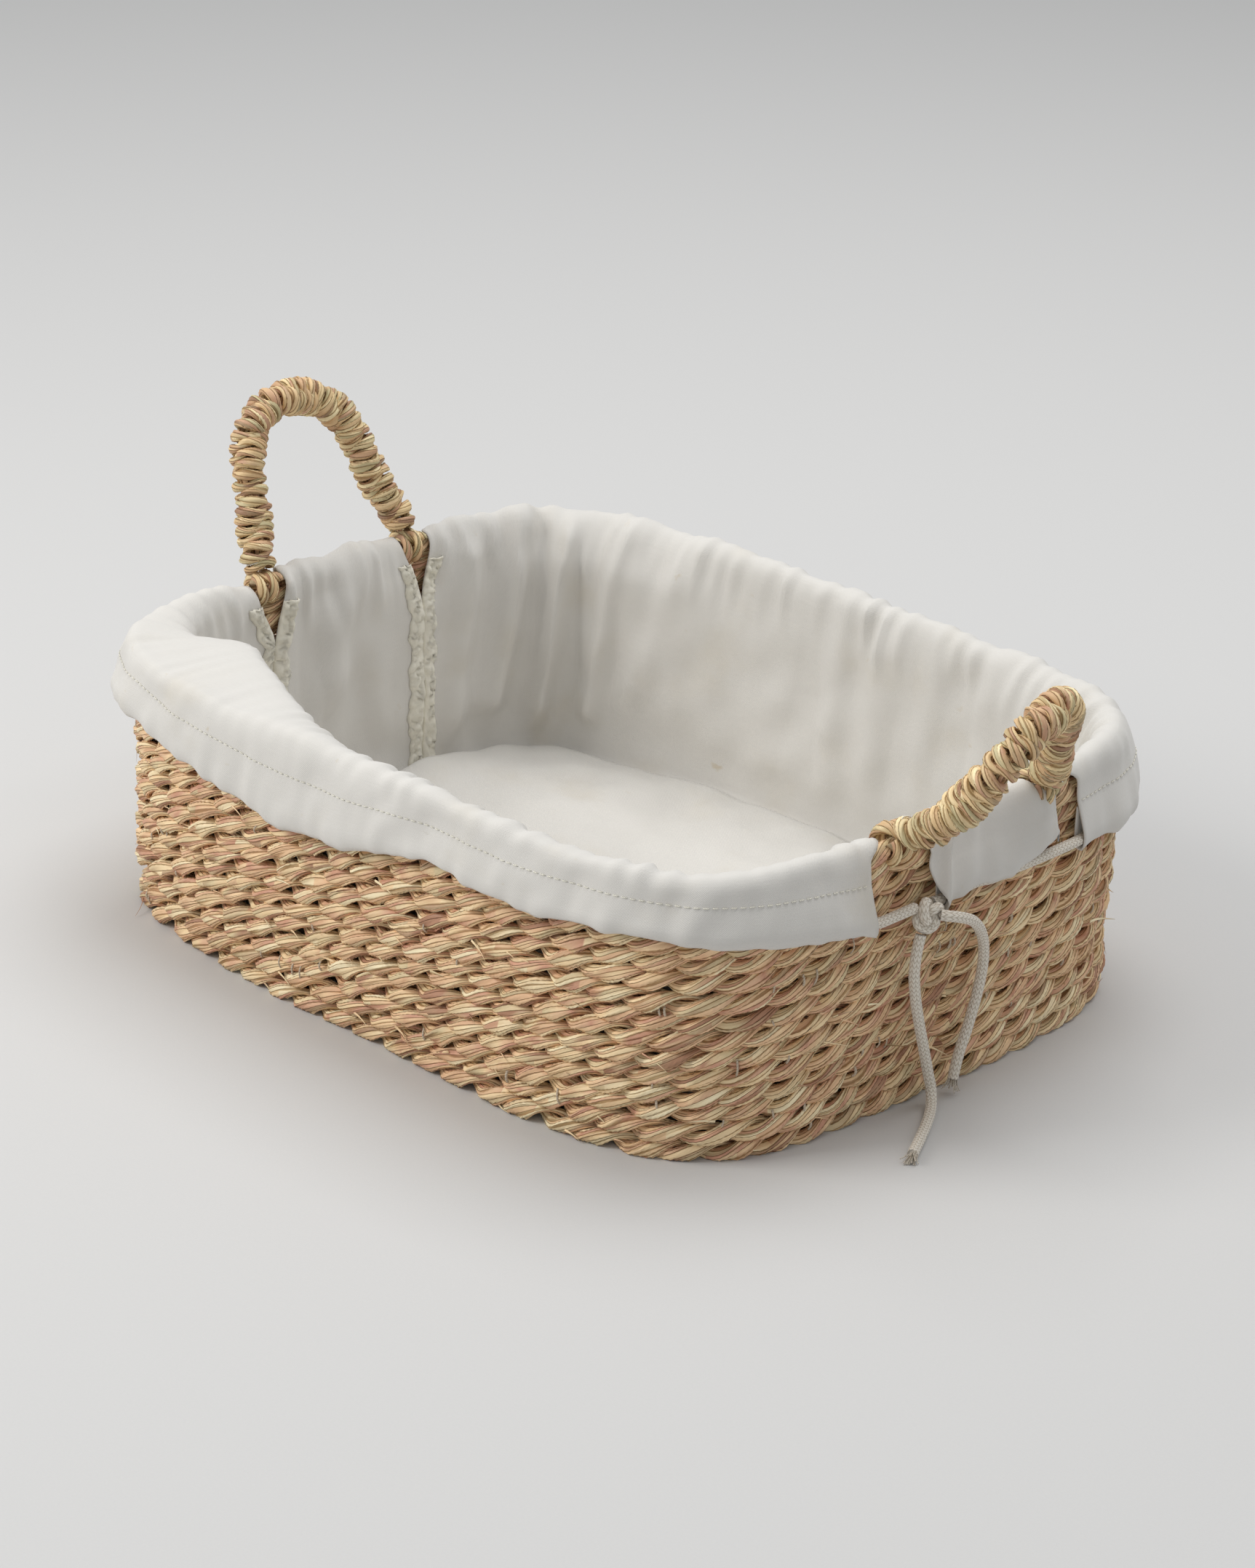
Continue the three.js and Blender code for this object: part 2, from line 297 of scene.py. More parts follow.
class Outline:
    """Rounded-rectangle plan of the basket, by distance along it.

    Distances start in the middle of the right-hand end and run anticlockwise, seen from above.
    """

    def __init__(self, half_length: float, half_width: float) -> None:
        """Measures the outline once, at many points."""
        self.half_length, self.half_width = half_length, half_width
        angle = np.linspace(0, 2 * math.pi, 8193)
        reach = plan_reach(half_length, half_width, angle)
        self.line = np.stack([reach * np.cos(angle), reach * np.sin(angle)], axis=1)
        self.run = run_of(self.line)
        self.length = float(self.run[-1])

    def at(self, distance: np.ndarray) -> tuple[np.ndarray, np.ndarray]:
        """Points and outward directions.

        Args:
            distance: Distances along the outline.

        Returns:
            Points and unit outward directions, both with Z at zero.
        """
        wrapped = np.mod(distance, self.length)
        x, y = (np.interp(wrapped, self.run, self.line[:, k]) for k in (0, 1))
        power = PLAN_POWER - 1
        nx = np.sign(x) * np.abs(x / self.half_length) ** power / self.half_length
        ny = np.sign(y) * np.abs(y / self.half_width) ** power / self.half_width
        flat = np.zeros_like(x)
        return np.stack([x, y, flat], axis=1), unit(np.stack([nx, ny, flat], axis=1))

    def mark(self, end: End, y: float | np.ndarray) -> float | np.ndarray:
        """Distances along the outline of places on an end wall, given by their Y."""
        middle = 0.0 if end is End.RIGHT else self.length / 2
        return middle + end.value * y


# ---------------------------------------------------------------------------------------------------
# Finishes


class Finish:
    """A material's node tree while it is being made."""

    def __init__(self, name: str) -> None:
        """Starts an empty tree."""
        self.material = bpy.data.materials.new(name)
        self.material.use_nodes = True
        self.tree = self.material.node_tree
        self.tree.nodes.clear()

    def add(self, kind: str, inputs: dict | None = None, **settings) -> bpy.types.Node:
        """Adds a node.

        Args:
            kind: The node's type, without its ShaderNode prefix.
            inputs: Values or sockets for the node's inputs, by name or number.
            settings: Properties of the node itself.

        Returns:
            The node.
        """
        node = self.tree.nodes.new("ShaderNode" + kind)
        for key, value in settings.items():
            setattr(node, key, value)
        for key, value in (inputs or {}).items():
            if isinstance(value, bpy.types.NodeSocket):
                self.tree.links.new(value, node.inputs[key])
            else:
                node.inputs[key].default_value = value
        return node

    def sum(self, operation: str, *terms) -> bpy.types.NodeSocket:
        """Result of a Math node on the terms."""
        return self.add("Math", dict(enumerate(terms)), operation=operation).outputs[0]

    def span(self, value, low: float, high: float, to_low: float, to_high: float) -> bpy.types.NodeSocket:
        """Value moved smoothly from one range to another."""
        inputs = {"Value": value, "From Min": low, "From Max": high, "To Min": to_low, "To Max": to_high}
        return self.add("MapRange", inputs, interpolation_type="SMOOTHSTEP").outputs[0]

    def ramp(self, value, tints: tuple) -> bpy.types.NodeSocket:
        """Colour from a ramp.

        Args:
            value: Where on the ramp.
            tints: Pairs of a place from 0 to 1 and a colour.

        Returns:
            The colour socket.
        """
        node = self.add("ValToRGB", {0: value})
        stops = node.color_ramp.elements
        while len(stops) < len(tints):
            stops.new(0.5)
        for stop, (place, tint) in zip(stops, tints):
            stop.position = place
            stop.color = (*tint, 1)
        return node.outputs[0]

    def noise(self, vector, scale: float, detail: float = 2.0) -> bpy.types.NodeSocket:
        """Height of a noise texture."""
        return self.add("TexNoise", {"Vector": vector, "Scale": scale, "Detail": detail}).outputs[0]

    def vector(self, x, y, z=0.0) -> bpy.types.NodeSocket:
        """A vector from its parts."""
        return self.add("CombineXYZ", {0: x, 1: y, 2: z}).outputs[0]

    def tinted(self, colour, shade, warmth: float = 0.0) -> bpy.types.NodeSocket:
        """Colour made lighter or darker by a number.

        Args:
            colour: The colour.
            shade: The number.
            warmth: How much warmer the dark parts are.

        Returns:
            The colour socket.
        """
        green = self.sum("POWER", shade, 1 + 0.4 * warmth)
        blue = self.sum("POWER", shade, 1 + warmth)
        return self.add("VectorMath", {0: colour, 1: self.vector(shade, green, blue)},
                        operation="MULTIPLY").outputs[0]

    def uv(self) -> tuple[bpy.types.NodeSocket, bpy.types.NodeSocket]:
        """The two parts of the piece's own UV map."""
        split = self.add("SeparateXYZ", {0: self.add("UVMap", uv_map="UVMap").outputs[0]})
        return split.outputs[0], split.outputs[1]

    def close(self, colour, roughness, height, depth: float, **surface) -> bpy.types.Material:
        """Joins the parts to a shader and gives the material.

        Args:
            colour: Base colour socket or value.
            roughness: Roughness socket or value.
            height: Height socket for the fine relief.
            depth: Depth of that relief in metres.
            surface: Further shader inputs, with underscores for spaces.

        Returns:
            The finished material.
        """
        bump = self.add("Bump", {"Height": height, "Distance": depth, "Strength": 1.0})
        inputs = {"Base Color": colour, "Roughness": roughness, "Normal": bump.outputs[0]}
        inputs.update({key.replace("_", " "): value for key, value in surface.items()})
        shader = self.add("BsdfPrincipled", inputs)
        self.add("OutputMaterial", {"Surface": shader.outputs[0]})
        return self.material


@dataclass(frozen=True)
class DryGrass:
    """Twisted grass blades. U is metres along the strand, and V counts blades round it.

    Attributes:
        name: Name of the material.
        tints: Ramp of blade colours.
        blade_run: Length of blade that shows before another takes over.
        gap_shade: How dark it is between blades.
    """

    name: str
    tints: tuple
    blade_run: float = 0.05
    gap_shade: float = 0.44

    def make(self) -> bpy.types.Material:
        """Builds the material."""
        f = Finish(self.name)
        u, whole = f.uv()
        bend = f.noise(f.vector(f.sum("MULTIPLY", u, 16.0), f.sum("MULTIPLY", whole, 0.5), 9.0), 1.0)
        v = f.sum("ADD", whole, f.span(bend, 0.25, 0.75, -0.45, 0.45))
        blade, local = f.sum("FLOOR", v), f.sum("FRACT", v)
        shift = f.sum("MULTIPLY", blade, 0.618)
        stretch = f.sum("FLOOR", f.sum("ADD", f.sum("DIVIDE", u, self.blade_run), shift))
        cell = f.vector(blade, stretch)
        pick = f.add("TexWhiteNoise", {"Vector": cell}, noise_dimensions="3D").outputs[0]
        bundle = f.noise(f.vector(f.sum("MULTIPLY", u, 30.0), f.sum("MULTIPLY", v, 0.09)), 1.0)
        place = f.sum("ADD", f.sum("MULTIPLY", pick, 0.72),
                      f.sum("MULTIPLY", f.span(bundle, 0.3, 0.7, 0, 1), 0.28))
        colour = f.ramp(place, self.tints)
        fibre = f.noise(f.vector(f.sum("MULTIPLY", u, 60.0), f.sum("MULTIPLY", v, 3.2)), 1.0, 3.0)
        from_middle = f.sum("ABSOLUTE", f.sum("SUBTRACT", f.sum("MULTIPLY", local, 2.0), 1.0))
        middle = f.sum("SUBTRACT", 1.0, from_middle)
        body = f.span(middle, 0.0, 0.34, self.gap_shade, 1.0)
        splits = f.noise(f.vector(f.sum("MULTIPLY", u, 28.0), f.sum("MULTIPLY", v, 1.7), 4.0), 1.0)
        split_line = f.span(splits, 0.62, 0.67, 1.0, 0.62)
        streaks = f.span(fibre, 0.25, 0.75, 0.88, 1.10)
        shade = f.sum("MULTIPLY", f.sum("MULTIPLY", body, streaks), split_line)
        roughness = f.span(fibre, 0.3, 0.7, 0.42, 0.66)
        height = f.sum("ADD", f.sum("MULTIPLY", fibre, 0.4), f.sum("MULTIPLY", body, split_line))
        return f.close(f.tinted(colour, shade, 0.7), roughness, height, 0.5 * MM, Specular_IOR_Level=0.45)


@dataclass(frozen=True)
class Cotton:
    """Washed cotton twill. U and V are metres along and across the cloth.

    Attributes:
        name: Name of the material.
        tint: Colour of the clean cloth.
        stain: Colour of its faint marks.
        rib: Width of one twill rib.
    """

    name: str
    tint: tuple[float, float, float]
    stain: tuple[float, float, float]
    rib: float = 0.8 * MM

    def make(self) -> bpy.types.Material:
        """Builds the material."""
        f = Finish(self.name)
        u, v = f.uv()
        turn = 2 * math.pi / self.rib
        rib = f.sum("SINE", f.sum("MULTIPLY", f.sum("ADD", u, f.sum("MULTIPLY", v, 0.8)), turn))
        yarn = f.noise(f.vector(f.sum("MULTIPLY", u, 1900.0), f.sum("MULTIPLY", v, 700.0)), 1.0, 3.0)
        slub = f.noise(f.vector(f.sum("MULTIPLY", u, 60.0), f.sum("MULTIPLY", v, 900.0)), 1.0)
        cloud = f.noise(f.vector(u, v), 22.0, 4.0)
        mark = f.noise(f.vector(u, v, 3.0), 75.0, 3.0)
        base = f.ramp(f.span(cloud, 0.52, 0.80, 0.0, 1.0), ((0.0, self.tint), (1.0, self.stain)))
        spotted = f.ramp(f.span(mark, 0.70, 0.78, 0.0, 1.0), ((0.0, (1, 1, 1)), (1.0, (0.90, 0.84, 0.74))))
        mixed = f.add("VectorMath", {0: base, 1: spotted}, operation="MULTIPLY").outputs[0]
        weave = f.sum("ADD", f.sum("MULTIPLY", rib, 0.22), f.sum("ADD", yarn, f.sum("MULTIPLY", slub, 0.6)))
        shade = f.span(weave, -0.2, 2.0, 0.965, 1.03)
        return f.close(f.tinted(mixed, shade), 0.92, weave, 0.09 * MM, Sheen_Weight=0.25,
                       Sheen_Roughness=0.5, Specular_IOR_Level=0.2)


@dataclass(frozen=True)
class KnittedCord:
    """Round knitted cord. U is metres along it and V goes once round it.

    Attributes:
        name: Name of the material.
        tint: Colour of the raised yarn.
        hollow_shade: Colour between the stitches.
        wales: Columns of stitches round the cord.
        stitch: Length of one stitch.
    """

    name: str
    tint: tuple[float, float, float]
    # hollow_shade: Colour painted between the stitches as their shade.
    hollow_shade: tuple[float, float, float]
    wales: int = 8
    stitch: float = 2.3 * MM

    def make(self) -> bpy.types.Material:
        """Builds the material."""
        f = Finish(self.name)
        u, v = f.uv()
        column_share = f.sum("FRACT", f.sum("MULTIPLY", v, float(self.wales)))
        local = f.sum("ABSOLUTE", f.sum("SUBTRACT", column_share, 0.5))
        phase = f.sum("ADD", f.sum("DIVIDE", u, self.stitch), f.sum("MULTIPLY", local, 1.3))
        chevron = f.sum("ABSOLUTE", f.sum("SINE", f.sum("MULTIPLY", phase, math.pi)))
        column = f.span(local, 0.30, 0.5, 1.0, 0.35)
        fluff = f.noise(f.vector(f.sum("MULTIPLY", u, 2600.0), f.sum("MULTIPLY", v, 40.0)), 1.0, 3.0)
        height = f.sum("MULTIPLY", chevron, column)
        # Painted shade: the colour darkens from the raised yarn into the hollows between stitches and wales.
        colour = f.ramp(f.span(height, 0.05, 0.65, 0.0, 1.0), ((0.0, self.hollow_shade), (1.0, self.tint)))
        relief = f.sum("ADD", height, f.sum("MULTIPLY", fluff, 0.35))
        return f.close(f.tinted(colour, f.span(fluff, 0.2, 0.8, 0.9, 1.08)), 0.9, relief, 0.25 * MM,
                       Sheen_Weight=0.3, Sheen_Roughness=0.6, Specular_IOR_Level=0.2)


@dataclass(frozen=True)
class Thread:
    """Plain spun thread. U is metres along it and V goes round it."""

    name: str
    tint: tuple[float, float, float]

    def make(self) -> bpy.types.Material:
        """Builds the material."""
        f = Finish(self.name)
        u, v = f.uv()
        ply = f.sum("SINE", f.sum("ADD", f.sum("MULTIPLY", u, 5200.0), f.sum("MULTIPLY", v, 2 * math.pi)))
        # Painted shade: the grooves between the plies get a darker colour.
        hollow_shade = tuple(0.85 * c for c in self.tint)
        colour = f.ramp(f.span(ply, -1.0, 1.0, 0.0, 1.0), ((0.0, hollow_shade), (1.0, self.tint)))
        return f.close(colour, 0.85, ply, 0.08 * MM, Specular_IOR_Level=0.2)


class Finishes:
    """The basket's materials, each made once."""

    WALL_TINTS = (
        (0.12, (1.000, 0.850, 0.560)), (0.30, (0.980, 0.730, 0.430)), (0.40, (0.800, 0.490, 0.290)),
        (0.50, (0.980, 0.710, 0.420)), (0.60, (0.680, 0.350, 0.230)), (0.70, (0.960, 0.710, 0.420)),
        (0.79, (0.800, 0.650, 0.390)), (0.90, (0.480, 0.250, 0.150)))
    HANDLE_TINTS = (
        (0.12, (0.980, 0.820, 0.500)), (0.28, (0.860, 0.640, 0.350)), (0.42, (0.720, 0.480, 0.260)),
        (0.54, (0.580, 0.330, 0.210)), (0.64, (0.820, 0.620, 0.350)), (0.78, (0.620, 0.540, 0.310)),
        (0.92, (0.400, 0.230, 0.140)))

    def __init__(self) -> None:
        """Makes every material."""
        self.wall = DryGrass("wall_grass", self.WALL_TINTS).make()
        self.handle = DryGrass("handle_grass", self.HANDLE_TINTS, blade_run=0.03).make()
        self.core = DryGrass("core_grass", self.WALL_TINTS, gap_shade=0.3).make()
        self.cotton = Cotton("liner_twill", (0.690, 0.668, 0.628), (0.655, 0.618, 0.550)).make()
        self.hem = Cotton("hem_twill", (0.820, 0.785, 0.680), (0.770, 0.725, 0.590)).make()
        self.cord = KnittedCord("knitted_cotton", (0.850, 0.790, 0.690), (0.560, 0.480, 0.380)).make()
        self.thread = Thread("seam_thread", (0.880, 0.850, 0.740)).make()
        self.stitch = Thread("sewing_thread", (0.620, 0.520, 0.400)).make()
        self.yarn = Thread("cord_yarn", (0.700, 0.630, 0.530)).make()


# ---------------------------------------------------------------------------------------------------
# Rope


@dataclass(frozen=True)
class Rope:
    """Two-ply rope laid up from bundles of grass blades.

    Attributes:
        lay: Length of one whole turn of the plies about each other.
        centre: Distance of a ply's middle from the rope's.
        high: Half thickness of a ply, measured out from the rope's middle.
        wide: Half width of a ply, measured round the rope.
        blades: Blades round a ply.
        step: Length between stations.
        around: Points round a ply.
        swell: How much thicker a ply is where it comes over than where it goes under.
        hand: 1 or -1, the way that the plies turn about each other.
        untwist: Turns of the blades the other way inside a ply, for each turn of the rope.
    """

    lay: float
    centre: float
    high: float
    wide: float
    blades: int
    step: float
    around: int
    swell: float = 0.10
    hand: int = 1
    untwist: float = 0.5

    def ply(self, name: str, route: Route, length: float, index: int, seed: int, closed: bool) -> bpy.types.Mesh:
        """One ply of the rope.

        Args:
            name: Name of the mesh.
            route: The rope's middle line.
            length: Length of the rope.
            index: 0 or 1, the two plies.
            seed: Picks its unevenness.
            closed: Whether the rope ends where it starts.

        Returns:
            The mesh.
        """
        turns = round(length / self.lay) if closed else length / self.lay
        spin = self.hand * round(self.untwist * turns)
        start = 2 * math.pi * np.random.default_rng(seed // 97).uniform()
        period = length if closed else 0.0
        wander = Ripples(seed, 0.11, 8, period)
        fatness = Ripples(seed + 1, 0.03, 10, period)
        drift = Ripples(seed + 2, 0.05, 10, period)
        raised = [Ripples(seed + 10 + b, 0.030, 8, period) for b in range(self.blades)]
        tilted = [Ripples(seed + 40 + b, 0.040, 6, period) for b in range(self.blades)]

        def place(u: np.ndarray, v: np.ndarray) -> tuple[np.ndarray, np.ndarray]:
            run = u * length
            centre, outward, upward = route(u)
            turn = self.hand * 2 * math.pi * turns * u + math.pi * index + start + 0.25 * wander(run)
            cos, sin = np.cos(turn)[:, None], np.sin(turn)[:, None]
            radial, across = cos * outward + sin * upward, -sin * outward + cos * upward
            w = 2 * v - 1
            theta = math.pi * w * (0.72 + 0.28 * w * w)
            count = self.blades * (theta / (2 * math.pi) + 0.5) + self.blades * spin * u
            blade = np.mod(np.floor(count), self.blades)
            local = count - np.floor(count)
            lift = np.zeros_like(run)
            for b in range(self.blades):
                here = blade == b
                lift[here] = raised[b](run[here]) + tilted[b](run[here]) * (local[here] - 0.5)
            ridge = np.clip(np.sin(math.pi * local), 0, 1) ** 0.4
            grain = 0.86 + 0.14 * ridge + 0.11 * np.clip(lift, -1.5, 1.4) * ridge
            size = (1 + self.swell * np.cos(turn + 0.9 * self.hand) + 0.06 * fatness(run)) * grain
            outer = self.high * size * np.cos(theta)
            round_it = self.wide * size * np.sin(theta) * (1 + 0.05 * drift(run))
            reach = self.centre * (1 + 0.05 * fatness(run + 0.4))
            position = centre + radial * (reach + outer)[:, None] + across * round_it[:, None]
            position[:, 2] = np.maximum(position[:, 2], 0.1 * MM)
            return position, np.stack([run + 3.7 * seed + 1.9 * index, count], axis=1)

        closing = Closing.BOTH if closed else Closing.AROUND
        return shaped_grid(name, int(length / self.step), self.around, place, closing)

    def lay_up(self, name: str, route: Route, length: float, seed: int, closed: bool) -> bpy.types.Object:
        """The whole rope, both plies.

        Args:
            name: Name of the piece.
            route: The rope's middle line.
            length: Length of the rope.
            seed: Picks its unevenness.
            closed: Whether the rope ends where it starts.

        Returns:
            The piece.
        """
        plies = [self.ply(f"{name}_ply", route, length, k, seed + 50 * k, closed) for k in (0, 1)]
        return joined(name, plies)


WALL_ROPE = Rope(lay=38 * MM, centre=2.6 * MM, high=2.5 * MM, wide=3.75 * MM, blades=11, step=2.35 * MM,
                 around=36, swell=0.27, untwist=0.55)
BASE_ROPE = Rope(lay=40 * MM, centre=2.0 * MM, high=2.4 * MM, wide=3.6 * MM, blades=8, step=4.2 * MM,
                 around=11)
HANDLE_CORD = Rope(lay=21 * MM, centre=1.05 * MM, high=1.8 * MM, wide=2.5 * MM, blades=6, step=1.3 * MM,
                   around=18, swell=0.06)
HANDLE_BUNDLE = Rope(lay=60 * MM, centre=1.7 * MM, high=2.3 * MM, wide=2.9 * MM, blades=7, step=3 * MM,
                     around=14)


@dataclass
class RopeBody:
    """The coiled base, the wall rows, the threads that sew them and the blade ends that stand out.

    Attributes:
        finishes: The basket's materials.
        sway: How far a row wanders out and in.
        sag: How far a row wanders up and down.
        stitches: How many stitches show.
        straws: How many loose blade ends there are.
        top_drop: How far the top row is pressed down under the cloth.
        hidden_rows: How many top rows the skirt hides, where no thread or blade end is needed.
        base_turns: Turns of the base coil.
        base_rows: Rope widths from the base's edge to its middle.
        ground_gap: The least height of a blade end above the ground.
    """

    finishes: Finishes
    sway: float = 0.5 * MM
    sag: float = 0.35 * MM
    stitches: int = 130
    straws: int = 190
    top_drop: float = 2.9 * MM
    hidden_rows: int = 5
    base_turns: float = 14 + 5 / 6
    base_rows: int = 15
    ground_gap: float = 0.8 * MM
    rows: list[str] = field(init=False)

    def __post_init__(self) -> None:
        """Finds the wall rows, from the lowest up."""
        self.rows = sorted(n for n in frame["nodes"] if n.startswith("wall_row_"))

    def middle_of(self, node: str) -> tuple[float, float, float]:
        """Half length, half width and height of a ring's or coil's outermost middle line."""
        low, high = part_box(node)
        inset = ROPE_WIDTH / 2
        return (high.x - low.x) / 2 - inset, (high.y - low.y) / 2 - inset, (low.z + high.z) / 2

    def row_line(self, node: str) -> tuple[Outline, float]:
        """Middle line of a wall row: its outline and its height."""
        half_length, half_width, height = self.middle_of(node)
        return Outline(half_length, half_width), height

    def build_rows(self) -> None:
        """Lays up every wall row."""
        for number, node in enumerate(self.rows):
            outline, height = self.row_line(node)
            sway = Ripples(300 + number, 0.12, 10, outline.length)
            sag = Ripples(400 + number, 0.15, 10, outline.length)
            loose = 0.3 if number > len(self.rows) - 3 else 1.0
            drop = self.top_drop if number == len(self.rows) - 1 else 0

            def route(share: np.ndarray) -> tuple[np.ndarray, np.ndarray, np.ndarray]:
                run = share * outline.length
                point, outward = outline.at(run)
                upward = np.zeros_like(point)
                upward[:, 2] = 1
                point = point + outward * (loose * self.sway * sway(run))[:, None]
                point[:, 2] = height + loose * self.sag * sag(run) - drop
                return point, outward, upward

            name = node.replace("wall_row", "rope_row")
            piece = WALL_ROPE.lay_up(name, route, outline.length, 1000 + 97 * number, True)
            fit(piece, BODY, "grass_rope", self.finishes.wall, node)

    def build_base(self) -> None:
        """Lays up the flat coil of the base, from its rim in to the middle."""
        half_length, half_width, height = self.middle_of("base_coil")
        pitch = half_width / self.base_rows
        angle = np.linspace(0, 2 * math.pi * self.base_turns, 9000)
        inwards = np.linspace(0, 1, 9000) * self.base_turns * pitch
        reach = plan_reach(half_length - inwards, half_width - inwards, angle)
        line = np.stack([reach * np.cos(angle), reach * np.sin(angle), np.full_like(angle, height)], axis=1)
        route = follow(line, Vector((0, 0, 1)))
        piece = BASE_ROPE.lay_up("rope_base", route, float(run_of(line)[-1]), 7000, False)
        fit(piece, BODY, "grass_rope", self.finishes.wall, "base_coil")

    def surface(self, rng: np.random.Generator, between: bool) -> tuple[np.ndarray, np.ndarray, np.ndarray]:
        """A random place on the outside of the wall.

        Args:
            rng: The random numbers.
            between: Whether the place is between two rows, where a stitch crosses.

        Returns:
            The place and the outward and sideways directions there.
        """
        row = int(rng.integers(0, len(self.rows) - self.hidden_rows))
        outline, height = self.row_line(self.rows[row])
        point, outward = outline.at(np.array([rng.uniform(0, outline.length)]))
        lift = ROPE_WIDTH / 2 if between else rng.uniform(-0.3, 0.3) * ROPE_WIDTH
        sunk = 1.5 * MM if between else 0.6 * MM
        place = point[0] + outward[0] * (WALL_ROPE.centre + WALL_ROPE.high - sunk)
        place[2] = height + lift
        return place, outward[0], np.cross([0, 0, 1], outward[0])

    def build_stitches(self) -> None:
        """Short lengths of the sewing thread that show between the rows."""
        rng = np.random.default_rng(21)
        meshes = []
        for _ in range(self.stitches):
            place, outward, along = self.surface(rng, True)
            half = rng.uniform(2.2, 3.8) * MM
            lean = rng.uniform(-0.8, 0.8) * MM
            bulge = rng.uniform(0.8, 1.7) * MM
            points = [place + np.array([0, 0, half * t]) + along * lean * t + outward * bulge * (1 - t * t)
                      for t in (-1.0, -0.5, 0.0, 0.5, 1.0)]
            line = flowing_line([tuple(p) for p in points], 9)
            meshes.append(tube("stitch", line, rng.uniform(0.35, 0.6) * MM, 8, 6, Vector(along)))
        fit(joined("row_stitches", meshes), BODY, "sewing_thread", self.finishes.stitch)

    def build_straws(self) -> None:
        """Loose blade ends that stand a little off the rows."""
        rng = np.random.default_rng(33)
        meshes = []
        for _ in range(self.straws):
            place, outward, along = self.surface(rng, False)
            length = rng.uniform(5, 15) * MM
            side = 1 if rng.uniform() < 0.7 else -1
            rise = rng.uniform(-0.55, 0.25)
            stand = rng.uniform(0.08, 0.42) * length
            bend = rng.uniform(-0.15, 0.15) * length
            points = [place + along * side * length * t + outward * stand * t * t
                      + np.array([0, 0, rise * length * t + bend * t * t]) for t in (0.0, 0.35, 0.7, 1.0)]
            for point in points:
                point[2] = max(point[2], self.ground_gap)
            width = rng.uniform(0.35, 0.75) * MM
            line = flowing_line([tuple(p) for p in points], 7)
            meshes.append(blade("straw", line, width, float(rng.uniform(0, 90))))
        fit(joined("loose_blades", meshes), BODY, "grass_rope", self.finishes.wall)

    def build(self) -> None:
        """Builds the whole rope body."""
        self.build_rows()
        self.build_base()
        self.build_stitches()
        self.build_straws()


def tube(name: str, line: np.ndarray, radius: float, along: int, around: int, up: Vector) -> bpy.types.Mesh:
    """A closed round tube along a line.

    Args:
        name: Name of the mesh.
        line: Points that it follows.
        radius: Its radius.
        along: Stations along it.
        around: Sides.
        up: A direction that is never along the line.

    Returns:
        The mesh.
    """
    route, length = follow(line, up), float(run_of(line)[-1])

    def place(u: np.ndarray, v: np.ndarray) -> tuple[np.ndarray, np.ndarray]:
        centre, side, rise = route(u)
        angle = 2 * math.pi * v
        position = centre + radius * (np.cos(angle)[:, None] * side + np.sin(angle)[:, None] * rise)
        return position, np.stack([u * length, v], axis=1)

    return shaped_grid(name, along, around, place, Closing.AROUND)


def blade(name: str, line: np.ndarray, half_width: float, tone: float) -> bpy.types.Mesh:
    """A thin, slightly cupped grass blade with a pointed tip.

    Args:
        name: Name of the mesh.
        line: Points that it follows.
        half_width: Half its width.
        tone: Picks its colour.

    Returns:
        The mesh.
    """
    route, length = follow(line, Vector((0, 0, 1))), float(run_of(line)[-1])

    def place(u: np.ndarray, v: np.ndarray) -> tuple[np.ndarray, np.ndarray]:
        centre, side, rise = route(u)
        angle = 2 * math.pi * v
        taper = np.clip(1.15 - u, 0.12, 1)
        position = (centre + rise * (half_width * taper * np.cos(angle))[:, None]
                    + side * (0.3 * half_width * taper * np.sin(angle))[:, None])
        across = 0.25 + 0.5 * np.abs(2 * v - 1) + math.floor(tone)
        return position, np.stack([u * length + tone, across], axis=1)

    return shaped_grid(name, 5, 6, place, Closing.AROUND)


# ---------------------------------------------------------------------------------------------------
# Handles


@dataclass(frozen=True)
class Bend:
    """Hand-bent shape of a handle.

    Attributes:
        lean: Degrees outwards from upright.
        arch: Y, distance from the hinge axis and outward bulge along the middle line, in millimetres.
    """

    lean: float
    arch: tuple


LEFT_BEND = Bend(20, (
    (-41, 8, 0), (-39, 21, 0.5), (-35.5, 36, 1), (-33.8, 51, 1), (-31.5, 63, 0.5), (-25.5, 73.5, 0),
    (-15, 80.5, 0), (-2, 82.5, 0), (11, 80, 0), (21.5, 74, 0), (29, 64.5, 0), (33.5, 53, 0),
    (36.5, 41, 0), (40.5, 29, 0), (46, 19, 0), (48.5, 8, 0)))
RIGHT_BEND = Bend(37, (
    (-37, 8, 2), (-34.5, 21, 7.5), (-30, 37, 9.5), (-27, 53, 9), (-21.5, 66, 7), (-11.5, 74.5, 3.5),
    (1.5, 77, 0), (13, 72.5, -2.5), (23.5, 62, -4), (32.5, 47, -4), (42.5, 29, -3), (49, 19, -1),
    (51.5, 8, 0)))


